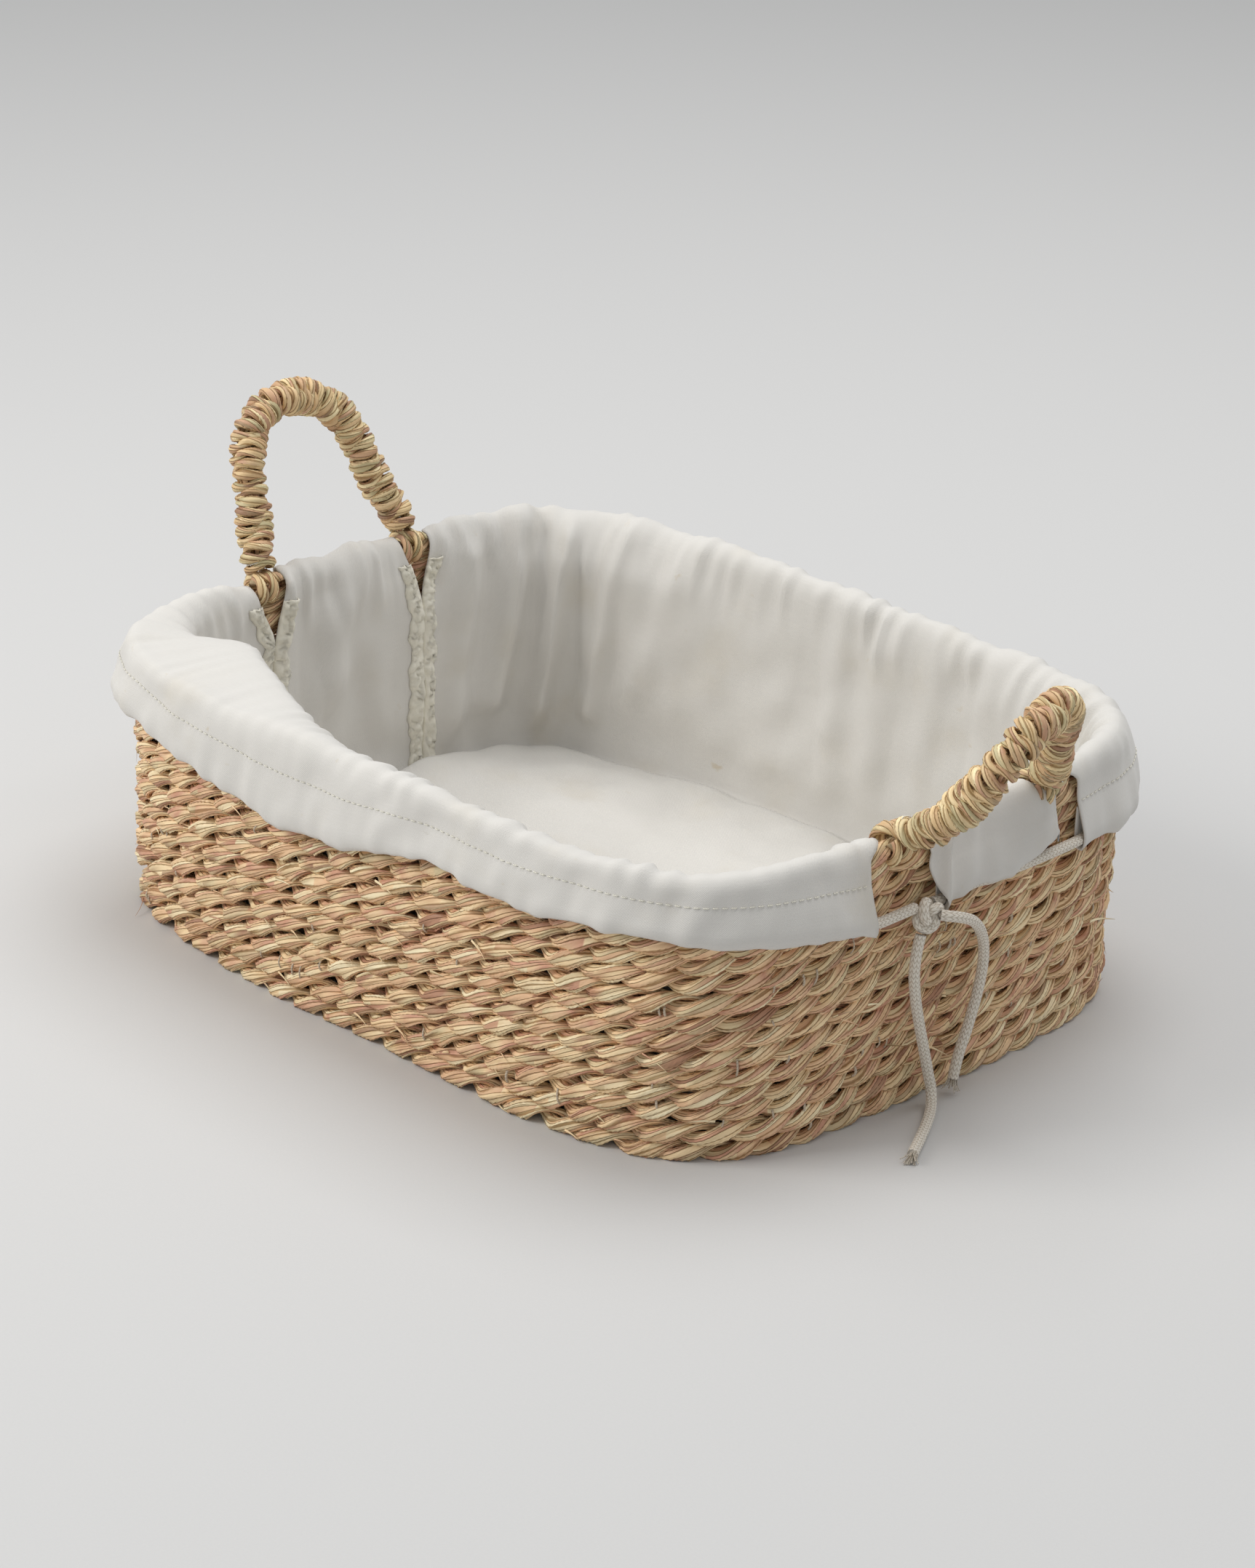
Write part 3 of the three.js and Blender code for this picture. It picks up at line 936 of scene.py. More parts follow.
@dataclass
class Handle:
    """A rope handle that turns on the top row of one end.

    Attributes:
        end: Which end it is on.
        finishes: The basket's materials.
        bend: Its shape.
        wrap_foot: Length of bare core at each foot.
        coil_pitch: Distance between turns of the wrap.
        coil_radius: Middle of the core to the middle of the wrapping cord.
    """

    end: End
    finishes: Finishes
    bend: Bend
    wrap_foot: float = 0.5 * MM
    coil_pitch: float = 4.3 * MM
    coil_radius: float = 5.9 * MM

    def __post_init__(self) -> None:
        """Works out the handle's own directions."""
        name = self.end.name.lower()
        joint = next(j for j in frame["joints"] if j["name"] == f"handle_{name}_hinge")
        self.side, self.body = name, f"handle_{name}"
        self.hinge = np.array(joint["pos_m"], float)
        lean = math.radians(self.bend.lean)
        self.up = np.array([self.end.value * math.sin(lean), 0, math.cos(lean)])
        self.across = np.array([0.0, 1.0, 0.0])
        self.out = self.end.value * np.cross(self.across, self.up)

    def arch(self, trim: float) -> np.ndarray:
        """Middle line of the arch, cut back by a length at both feet."""
        local = flowing_line([tuple(c * MM for c in p) for p in self.bend.arch], 1200)
        line = (self.hinge + local[:, :1] * self.across + local[:, 1:2] * self.up + local[:, 2:] * self.out)
        run = run_of(line)
        return sampled(np.linspace(trim, run[-1] - trim, 700), run, line)

    def wound(self, line: np.ndarray, flat: np.ndarray, radius: float, turns: float,
              start: float) -> tuple[np.ndarray, np.ndarray]:
        """A helix about a line.

        Args:
            line: The line.
            flat: A direction square to the line all along it.
            radius: The helix's radius.
            turns: How many turns.
            start: Angle where it starts.

        Returns:
            Points on the helix, and the outward direction at each.
        """
        count = int(40 * turns)
        run = run_of(line)
        at = np.linspace(0, run[-1], count)
        centre = sampled(at, run, line)
        tangent = unit(np.gradient(centre, axis=0))
        other = np.cross(tangent, flat)
        unevenness = Ripples(60 + self.end.value, 0.02, 10)
        angle = start + 2 * math.pi * turns * np.linspace(0, 1, count) + 0.10 * unevenness(at)
        tuck = np.exp(-((np.minimum(at, run[-1] - at) / (1.5 * MM)) ** 2))
        size = radius * (1 + 0.04 * unevenness(at + 1.0) - 0.28 * tuck)
        outward = np.cos(angle)[:, None] * flat + np.sin(angle)[:, None] * other
        return centre + size[:, None] * outward, outward

    def cord_along(self, name: str, line: np.ndarray, outward: np.ndarray, seed: int) -> bpy.types.Object:
        """Two-ply cord along a wound line, given the outward direction at each of its points."""
        side = unit(np.cross(unit(np.gradient(line, axis=0)), outward))
        return HANDLE_CORD.lay_up(name, carried(line, outward, side), float(run_of(line)[-1]), seed, False)

    def build_core(self) -> None:
        """The bundle of grass inside the wrap."""
        line = self.arch(0.0)
        route = follow(line, Vector(self.out))
        length = float(run_of(line)[-1])
        piece = HANDLE_BUNDLE.lay_up(f"{self.body}_core_bundle", route, length, 8100, False)
        fit(piece, self.body, "handle_core", self.finishes.core, f"{self.body}_core")

    def build_wrap(self) -> None:
        """The cord wound closely round the core."""
        line = self.arch(self.wrap_foot)
        turns = run_of(line)[-1] / self.coil_pitch
        helix, outward = self.wound(line, self.out, self.coil_radius, turns, 0.4)
        piece = self.cord_along(f"{self.body}_wound_cord", helix, outward, 8300 + self.end.value)
        fit(piece, self.body, "handle_wrap", self.finishes.handle, f"{self.body}_wrap")

    def build_feet(self) -> None:
        """The turns of cord round the top row, and the thread that ties each foot."""
        for foot, sign in (("near", -1), ("far", 1)):
            y = self.bend.arch[0 if foot == "near" else -1][0] * MM
            middle = self.hinge + y * self.across
            half = 6.5 * MM
            axis = np.linspace(-half, half, 50)[:, None] * self.across + middle
            helix, outward = self.wound(axis, self.up, 6.9 * MM, 2.2, 0.3)
            piece = self.cord_along(f"{self.body}_{foot}_foot_turns", helix, outward, 8500 + 10 * sign)
            fit(piece, self.body, "handle_wrap", self.finishes.handle, f"{self.body}_{foot}_saddle")
            leg = np.linspace(8.5 * MM, 14 * MM, 40)[:, None] * self.up + middle
            winding, _ = self.wound(leg, self.across, 5.2 * MM, 2.5, 1.0)
            threads = [tube("lashing", winding, 0.32 * MM, 150, 6, Vector(self.up))]
            for k in (-1, 1):
                tip = winding[-1] if k > 0 else winding[0]
                points = [tip, tip + self.out * 3 * MM + self.across * k * 2 * MM,
                          tip + self.out * 4.5 * MM + self.across * k * 5 * MM - self.up * 3 * MM]
                threads.append(tube("end", flowing_line([tuple(p) for p in points], 12), 0.35 * MM, 10, 6,
                                    Vector(self.up)))
            lashing = joined(f"{self.body}_{foot}_thread_tie", threads)
            fit(lashing, self.body, "sewing_thread", self.finishes.thread, f"{self.body}_{foot}_lashing")

    def build(self) -> None:
        """Builds the whole handle."""
        self.build_core()
        self.build_wrap()
        self.build_feet()


# ---------------------------------------------------------------------------------------------------
# Liner


@dataclass(frozen=True)
class Fold:
    """A soft ridge in the cloth between two places.

    Attributes:
        start: Distance along the outline and distance below the crest (inside is negative).
        end: The same for its other end.
        width: Half width of the ridge.
        height: How far it stands off, which may be negative.
    """

    start: tuple[float, float]
    end: tuple[float, float]
    width: float
    height: float

    def __call__(self, s: np.ndarray, d: np.ndarray) -> np.ndarray:
        """Height of the ridge at places on the cloth."""
        a, b = np.array(self.start), np.array(self.end)
        step = b - a
        share = ((s - a[0]) * step[0] + (d - a[1]) * step[1]) / (step @ step)
        inside = np.clip(share, 0, 1)
        gap = np.hypot(s - a[0] - inside * step[0], d - a[1] - inside * step[1])
        return self.height * np.exp(-((gap / self.width) ** 2))


@dataclass(frozen=True)
class Corner:
    """How the liner hangs at one corner of the basket.

    Attributes:
        middle: Distance along the outline of the corner.
        cut: How far inwards the cloth hangs.
        before: Reach of that on the side of shorter distances.
        after: Reach on the side of longer distances.
        start: Distance below the crest by which the cloth is all the way in.
        lift: How far its inner fold is held up.
    """

    middle: float
    cut: float
    before: float
    after: float
    start: float
    lift: float


@dataclass
class Liner:
    """The cotton liner: floor, side panels with their skirts, end panels with their flaps, and hems.

    Attributes:
        finishes: The basket's materials.
        feet_y: Y of the two slits at the left end, then at the right end.
        skirt_stop: How far each skirt stops short of a foot.
        thickness: Thickness of the cloth.
        long_flat: Cut length of a long panel; not used.
        end_flat: Cut width of an end panel; not used.
        hem_flat: Cut width and length of the cloth in one pair of slit hems; not used.
        seam_allowance: How much larger the floor panel is cut than its seam's outline.
        corner: Distance from the middle of an end to its corners.
    """

    finishes: Finishes
    feet_y: tuple = ((-42 * MM, 49.5 * MM), (-38.5 * MM, 53.5 * MM))
    skirt_stop: float = 19 * MM
    thickness: float = 0.7 * MM
    long_flat: float = 0.57
    end_flat: float = 0.092
    hem_flat: tuple = (18.5 * MM, 0.160)
    seam_allowance: float = 1.03
    corner: float = 0.181

    def __post_init__(self) -> None:
        """Works out the cloth's section and outline from the frame."""
        low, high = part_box("wall_row_01")
        self.outline = Outline((high.x - low.x) / 2, (high.y - low.y) / 2)
        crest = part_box("liner_side_front")[1].z
        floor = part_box("liner_floor")[1].z
        self.hem_z = crest - 38 * MM
        self.stitch_z = crest - 15.5 * MM
        rim = crest - 6 * MM
        section = [
            (-18.5 * MM, floor - 0.6 * MM), (-15.5 * MM, floor + 2.4 * MM), (-12.6 * MM, floor + 18 * MM),
            (-11.8 * MM, floor + 55 * MM), (-11.4 * MM, rim - 14 * MM), (-10.4 * MM, rim),
            (-7.2 * MM, crest - 0.2 * MM), (-3.2 * MM, crest + 1.2 * MM), (1.0 * MM, crest - 0.6 * MM),
            (4.0 * MM, rim), (5.8 * MM, self.stitch_z), (8.2 * MM, self.stitch_z - 9 * MM),
            (9.9 * MM, self.hem_z + 6 * MM), (8.9 * MM, self.hem_z + 0.8 * MM), (6.6 * MM, self.hem_z),
            (4.4 * MM, self.hem_z + 1.4 * MM), (3.6 * MM, self.hem_z + 8 * MM),
            (3.8 * MM, self.stitch_z - 3 * MM)]
        self.section = flowing_line(section, 500)
        run = run_of(self.section)
        top = int(np.argmax(self.section[:, 1]))
        self.depth = run - run[top]
        tangent = unit(np.gradient(self.section, axis=0))
        self.face = np.stack([-tangent[:, 1], tangent[:, 0]], axis=1)
        hem = int(np.argmin(np.where(self.depth > 0, self.section[:, 1], 1)))
        self.hem_depth = float(self.depth[hem])
        self.stitch_depth = float(np.interp(-self.stitch_z, -self.section[top:hem, 1], self.depth[top:hem]))
        middle = self.outline.length / 2
        corner = middle + self.corner
        self.corners = [
            Corner(middle - self.corner, 10 * MM, 0.055, 0.055, 0.030, 0.0),
            Corner(corner, 37 * MM, 0.060, 0.085, 0.015, 9 * MM),
            Corner(-self.corner, 5 * MM, 0.055, 0.055, 0.030, 0.0),
            Corner(self.corner, 6 * MM, 0.055, 0.055, 0.030, 0.0)]
        self.folds = [
            Fold((corner - 0.030, -0.012), (corner + 0.120, -0.046), 5 * MM, 2.0 * MM),
            Fold((corner - 0.010, -0.006), (corner + 0.075, -0.030), 4 * MM, -1.5 * MM),
            Fold((-0.012, 0.010), (-0.020, 0.046), 2.0 * MM, 4.2 * MM),
            Fold((-0.024, 0.016), (-0.030, 0.046), 2.0 * MM, 3.0 * MM),
            Fold((0.004, 0.002), (-0.002, 0.034), 5 * MM, 2.0 * MM),
            Fold((0.040, 0.004), (0.050, 0.034), 6 * MM, 2.0 * MM),
            Fold((corner - 0.010, 0.006), (corner + 0.060, -0.004), 8 * MM, -1.5 * MM),
            Fold((middle - 0.012, -0.006), (middle + 0.026, -0.095), 9 * MM, 6.0 * MM),
            Fold((middle + 0.006, -0.020), (middle - 0.020, -0.110), 8 * MM, -2.5 * MM),
            Fold((middle - 0.080, -0.020), (middle - 0.066, -0.122), 8 * MM, 7.0 * MM),
            Fold((middle - 0.112, -0.008), (middle - 0.094, -0.095), 8 * MM, 9.0 * MM),
            Fold((middle - 0.146, -0.014), (middle - 0.120, -0.125), 9 * MM, 10.0 * MM),
            Fold((middle - 0.185, -0.010), (middle - 0.166, -0.100), 8 * MM, 7.0 * MM),
            Fold((middle - 0.225, -0.008), (middle - 0.200, -0.080), 9 * MM, 3.5 * MM),
            Fold((middle - 0.330, -0.008), (middle - 0.318, -0.070), 8 * MM, 2.5 * MM),
        ]

    def unevenness(self, s: np.ndarray, d: np.ndarray) -> np.ndarray:
        """How far the cloth stands off its plain section.

        Args:
            s: Distances along the outline.
            d: Distances from the crest, negative inside.

        Returns:
            One distance for each place.
        """
        length = self.outline.length
        inside = smooth_step(-d, 0.003, 0.026)
        low = smooth_step(-d, 0.085, 0.130)
        outside = smooth_step(d, 0.004, 0.020)
        pucker = Ripples(51, 0.026, 16, length)(s, 0.18 * d)
        pleat = Ripples(52, 0.010, 18, length)(s, 0.10 * d)
        billow = Ripples(53, 0.13, 10, length)(s, d)
        crease = Ripples(54, 0.024, 22, length)(s, 0.7 * d)
        waviness = 1.0 * np.maximum(pucker, -0.8) + 2.4 * np.maximum(billow, -0.4) + 1.4
        total = inside * (1 - low) * waviness * MM
        total += inside * (1 - 0.5 * low) * 0.5 * crease * MM
        gathered = smooth_step(-d, 0.001, 0.009) * (1 - smooth_step(-d, 0.014, 0.042))
        total += gathered * 1.0 * np.maximum(pleat, -0.8) * MM
        rim = np.exp(-(((d - 0.002) / 0.009) ** 2))
        total += rim * (0.8 * Ripples(56, 0.045, 12, length)(s) + 0.4 * pleat) * MM
        skirt = Ripples(55, 0.050, 14, length)(s, 0.5 * d)
        below = smooth_step(d, self.stitch_depth, self.hem_depth - 0.004)
        total += outside * (0.9 * skirt + 0.40 * crease) * MM
        gather = Ripples(57, 0.011, 16, length)(s, 0.3 * d)
        total += (below * 0.22 + 0.22 * outside) * gather * MM
        seam = np.exp(-(((d - self.stitch_depth) / (1.2 * MM)) ** 2))
        total -= 0.14 * seam * (1 + 0.4 * gather) * MM
        taut = np.exp(-(((s - self.corners[1].middle - 0.02) / 0.085) ** 2)) * smooth_step(-d, 0.0, 0.012)
        total *= 1 - 0.75 * taut
        for fold in self.folds:
            total += fold(s, d)
        total *= 1 - smooth_step(d, self.hem_depth, self.hem_depth + 0.004)
        return total * (1 - smooth_step(-d, -self.depth[0] - 0.026, -self.depth[0] - 0.004))

    def gap_to(self, mark: float, s: np.ndarray) -> np.ndarray:
        """Signed distances along the outline from a mark, the short way round."""
        half = self.outline.length / 2
        return np.mod(s - mark + half, self.outline.length) - half

    def corner_slack(self, s: np.ndarray, d: np.ndarray) -> tuple[np.ndarray, np.ndarray]:
        """How the cloth cuts across each corner instead of lying against the rope.

        Args:
            s: Distances along the outline.
            d: Distances from the crest, negative inside.

        Returns:
            How far it moves inwards, and how far it is held up.
        """
        inward, lift = np.zeros(np.broadcast(s, d).shape), np.zeros(np.broadcast(s, d).shape)
        foot = smooth_step(-d, 0.060, 0.138)
        for corner in self.corners:
            gap = self.gap_to(corner.middle, s)
            near = np.exp(-((gap / np.where(gap > 0, corner.after, corner.before)) ** 2))
            cut = corner.cut * (1 - foot) + 12 * MM * foot
            inward += near * smooth_step(-d, -0.001, corner.start) * cut
            below_lift = 1 - smooth_step(-d, 0.018, 0.075)
            lift += near * corner.lift * smooth_step(-d, 0.001, corner.start) * below_lift
        return inward, lift

    def hung(self, s: np.ndarray, d: np.ndarray) -> np.ndarray:
        """Places in space of places on the cloth."""
        point, outward = self.outline.at(s)
        pieces = [np.interp(d, self.depth, p) for p in (*self.section.T, *self.face.T)]
        off = self.unevenness(s, d)
        inward, lift = self.corner_slack(s, d)
        out = pieces[0] + off * pieces[2] - inward
        place = point + outward * out[:, None]
        low = smooth_step(d, 0.010, self.hem_depth)
        hem = 1.3 * MM * Ripples(58, 0.11, 10, self.outline.length)(s) * low
        flap_tip = 9 * MM * smooth_step(s, 0.026, 0.056) * (s < 0.0535) * low
        raised = hem + flap_tip + lift + self.hem_rise(s, d)
        place[:, 2] = pieces[1] + off * pieces[3] + raised - self.droop(s, d)
        return place

    def hem_rise(self, s: np.ndarray, d: np.ndarray) -> np.ndarray:
        """How much the drawcord pulls the hem up, most at the corners."""
        corner, end = self.corners[1].middle, self.outline.length
        places = [corner - 0.11, corner - 0.05, corner - 0.01, corner + 0.02, corner + 0.05, corner + 0.09,
                  corner + 0.14, corner + 0.17, corner + 0.20, end - self.corner, end - 0.115, end - 0.085,
                  end - 0.062]
        heights = [0, 12, 15, 7, 4, 1, 1, 8, 12.5, 13, 11, 8, 1]
        rise = sum(np.interp(s + shift, places, heights, 0, 0) for shift in (-0.008, 0.0, 0.008)) / 3 * MM
        leg = smooth_step(d, self.hem_depth, float(self.depth[-1]))
        return rise * np.clip(d / self.hem_depth, 0, 1) * (1 - 0.6 * leg)

    def droop(self, s: np.ndarray, d: np.ndarray) -> np.ndarray:
        """How far the rim sinks beside each slit."""
        total = np.zeros(np.broadcast(s, d).shape)
        for end, feet in zip(End, self.feet_y):
            for y in feet:
                total += np.exp(-((self.gap_to(self.outline.mark(end, y), s) / 0.016) ** 2))
        return 2.8 * MM * total * np.exp(-((d / 0.012) ** 2))

    def panel(self, name: str, first: Callable, last: Callable, along: int, down: int) -> bpy.types.Object:
        """One panel of cloth between two edges.

        Args:
            name: Name of the piece.
            first: Gives the distance along the outline of its first edge, at a distance from the crest.
            last: The same for its last edge.
            along: Squares along it.
            down: Squares from the hem to the floor.

        Returns:
            The piece.
        """
        def place(u: np.ndarray, v: np.ndarray) -> tuple[np.ndarray, np.ndarray]:
            d = self.depth[-1] + (self.depth[0] - self.depth[-1]) * v
            s = first(d) + (last(d) - first(d)) * u
            return self.hung(s, d), np.stack([s, d], axis=1)

        piece = joined(name, [shaped_grid(name, along, down, place, Closing.OPEN)])
        self.thicken(piece)
        return piece

    def thicken(self, piece: bpy.types.Object) -> None:
        """Gives a sheet the thickness of the cloth."""
        solid = piece.modifiers.new("cloth", "SOLIDIFY")
        solid.thickness = self.thickness
        solid.offset = -1

    def slit_edge(self, end: End, foot: int, skirt: bool) -> Callable:
        """The edge of a panel at a handle foot.

        Args:
            end: Which end of the basket.
            foot: 0 for the foot with the lower Y, 1 for the other.
            skirt: True for the side panel's edge, False for the end panel's.

        Returns:
            A function from distance from the crest to distance along the outline.
        """
        y = self.feet_y[list(End).index(end)][foot]
        away = (-1 if foot == 0 else 1) * (1 if skirt else -1)

        def edge(d: np.ndarray) -> np.ndarray:
            opening = 0.15 * MM + 9.15 * MM * smooth_step(d, -0.040, -0.004)
            if skirt:
                outer = self.skirt_stop - 9.3 * MM
                opening = opening + outer * smooth_step(d, 0.0, 0.012)
            else:
                low = 21 * MM if foot == 0 else 2 * MM
                middle = 15 * MM if foot == 0 else -3 * MM
                depths = [0, 0.012, 0.022, self.hem_depth]
                openings = [0, middle - 9 * MM, middle - 9 * MM, low - 9 * MM]
                opening = opening + np.interp(d, depths, openings)
            return self.outline.mark(end, y + away * opening)

        return edge

    def build_sides(self) -> None:
        """The two long panels, each from slit to slit round two corners."""
        length = self.outline.length
        right_far, left_far = self.slit_edge(End.RIGHT, 1, True), self.slit_edge(End.LEFT, 1, True)
        left_near, right_near = self.slit_edge(End.LEFT, 0, True), self.slit_edge(End.RIGHT, 0, True)
        back = self.panel("liner_back_panel", right_far, left_far, 250, 92)
        front = self.panel("liner_front_panel", left_near, lambda d: right_near(d) + length, 260, 92)
        for piece, node in ((back, "liner_side_back"), (front, "liner_side_front")):
            fit(piece, BODY, "liner_cotton", self.finishes.cotton, node)

    def build_ends(self) -> None:
        """The two end panels, whose flaps fold out between the feet of a handle."""
        for end in End:
            edges = [self.slit_edge(end, foot, False) for foot in (0, 1)]
            if end is End.LEFT:
                edges.reverse()
            name = end.name.lower()
            piece = self.panel(f"liner_{name}_end_panel", edges[0], edges[1], 84, 92)
            fit(piece, BODY, "liner_cotton", self.finishes.cotton, f"liner_end_{name}")

    def build_floor(self) -> None:
        """The floor panel, puffed up inside its sewn edge, which drops down to meet the walls."""
        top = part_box("liner_floor")[1].z
        wave, crease = Ripples(71, 0.11, 12), Ripples(72, 0.030, 20)
        edge_s = np.linspace(0, self.outline.length, 1441)
        seam = self.hung(edge_s, np.full_like(edge_s, self.depth[0]))
        bearing = np.unwrap(np.arctan2(seam[:, 1], seam[:, 0]))
        reach = np.hypot(seam[:, 0], seam[:, 1])

        def place(u: np.ndarray, v: np.ndarray) -> tuple[np.ndarray, np.ndarray]:
            x, y = 2 * u - 1, 2 * v - 1
            square = np.maximum(np.abs(x), np.abs(y))
            angle = np.mod(np.arctan2(0.78 * y, x) - bearing[0], 2 * math.pi) + bearing[0]
            far = square * np.interp(angle, bearing, reach) * self.seam_allowance
            px, py = far * np.cos(angle), far * np.sin(angle)
            edge = smooth_step(square, 0.948, 0.970)
            puff = smooth_step(square, 0.60, 0.93)
            height = top + (1.8 + 1.9 * wave(px, py) + 0.6 * crease(px, py) + 4.2 * puff) * MM
            height = np.maximum(height, top) * (1 - edge) + edge * (top - 0.4 * MM)
            return np.stack([px, py, height], axis=1), np.stack([px, py], axis=1)

        piece = joined("liner_floor_panel", [shaped_grid("floor", 150, 120, place, Closing.OPEN)])
        self.thicken(piece)
        fit(piece, BODY, "liner_cotton", self.finishes.cotton, "liner_floor")

    def build_hems(self) -> None:
        """The turned hems that run down inside from each slit to the floor."""
        for end in End:
            for foot, word in ((0, "near"), (1, "far")):
                meshes = [self.hem_strip(end, foot, side) for side in (-1, 1)]
                piece = joined(f"slit_hem_{end.name.lower()}_{word}", meshes)
                self.thicken(piece)
                fit(piece, BODY, "hem_tape", self.finishes.hem, f"slit_facing_{end.name.lower()}_{word}")

    def hem_strip(self, end: End, foot: int, side: int) -> bpy.types.Mesh:
        """One ruffled strip beside a slit seam.

        Args:
            end: Which end of the basket.
            foot: 0 or 1, as for slit_edge.
            side: -1 or 1, the side of the seam in Y.

        Returns:
            The mesh.
        """
        y = self.feet_y[list(End).index(end)][foot]
        ruffle = Ripples(80 + 2 * foot + side + 5 * end.value, 0.011, 10)

        def place(u: np.ndarray, v: np.ndarray) -> tuple[np.ndarray, np.ndarray]:
            d = -0.016 + (self.depth[0] + 0.004 + 0.016) * v
            opening = 0.10 * MM + 8.8 * MM * smooth_step(d, -0.040, -0.004)
            across = opening + (8.0 + 1.0 * ruffle(d, 3.0)) * MM * u
            s = self.outline.mark(end, y + side * across)
            place = self.hung(s, d)
            _, outward = self.outline.at(s)
            crown = np.sqrt(np.clip(np.sin(math.pi * u), 0, 1))
            bump = crown * (1.5 + 1.0 * ruffle(d, 40 * across)) - 0.1
            return place - outward * (bump * MM)[:, None], np.stack([across, d], axis=1)

        mesh = shaped_grid("hem", 7, 90, place, Closing.OPEN)
        if side * end.value > 0:
            bm = bmesh.new()
            bm.from_mesh(mesh)
            bmesh.ops.reverse_faces(bm, faces=bm.faces)
            bm.to_mesh(mesh)
            bm.free()
        return mesh

    def slit_places(self) -> list[float]:
        """Distances along the outline of the slits, over two turns of it."""
        marks = [self.outline.mark(end, y) for end, feet in zip(End, self.feet_y) for y in feet]
        return [mark + turn * self.outline.length for mark in marks for turn in (0, 1)]

    def build_stitching(self) -> None:
        """The line of stitches along the top of each drawcord channel."""
        meshes = []
        pitch = 3.4 * MM
        stitch_half = 1.1 * MM
        for first, last in self.stitched_runs():
            for s in np.arange(first + pitch, last - pitch, pitch):
                ends = np.array([s - stitch_half, s, s + stitch_half])
                line = self.hung(ends, np.full(3, self.stitch_depth))
                _, outward = self.outline.at(ends)
                line = line + outward * np.array([0.25, 0.5, 0.25])[:, None] * MM
                meshes.append(tube("stitch", line, 0.24 * MM, 3, 5, Vector((0, 0, 1))))
        fit(joined("channel_stitching", meshes), BODY, "sewing_thread", self.finishes.thread)

    def stitched_runs(self) -> list[tuple[float, float]]:
        """Where the channels start and end, as distances along the outline."""
        here = np.array([self.stitch_depth])
        length = self.outline.length
        ends = {(end, foot): float(self.slit_edge(end, foot, True)(here)[0])
                for end in End for foot in (0, 1)}
        return [(ends[End.RIGHT, 1], ends[End.LEFT, 1]), (ends[End.LEFT, 0], ends[End.RIGHT, 0] + length)]

    def build(self) -> None:
        """Builds the whole liner."""
        self.build_sides()
        self.build_ends()
        self.build_floor()
        self.build_hems()
        self.build_stitching()


# ---------------------------------------------------------------------------------------------------
# Drawcord


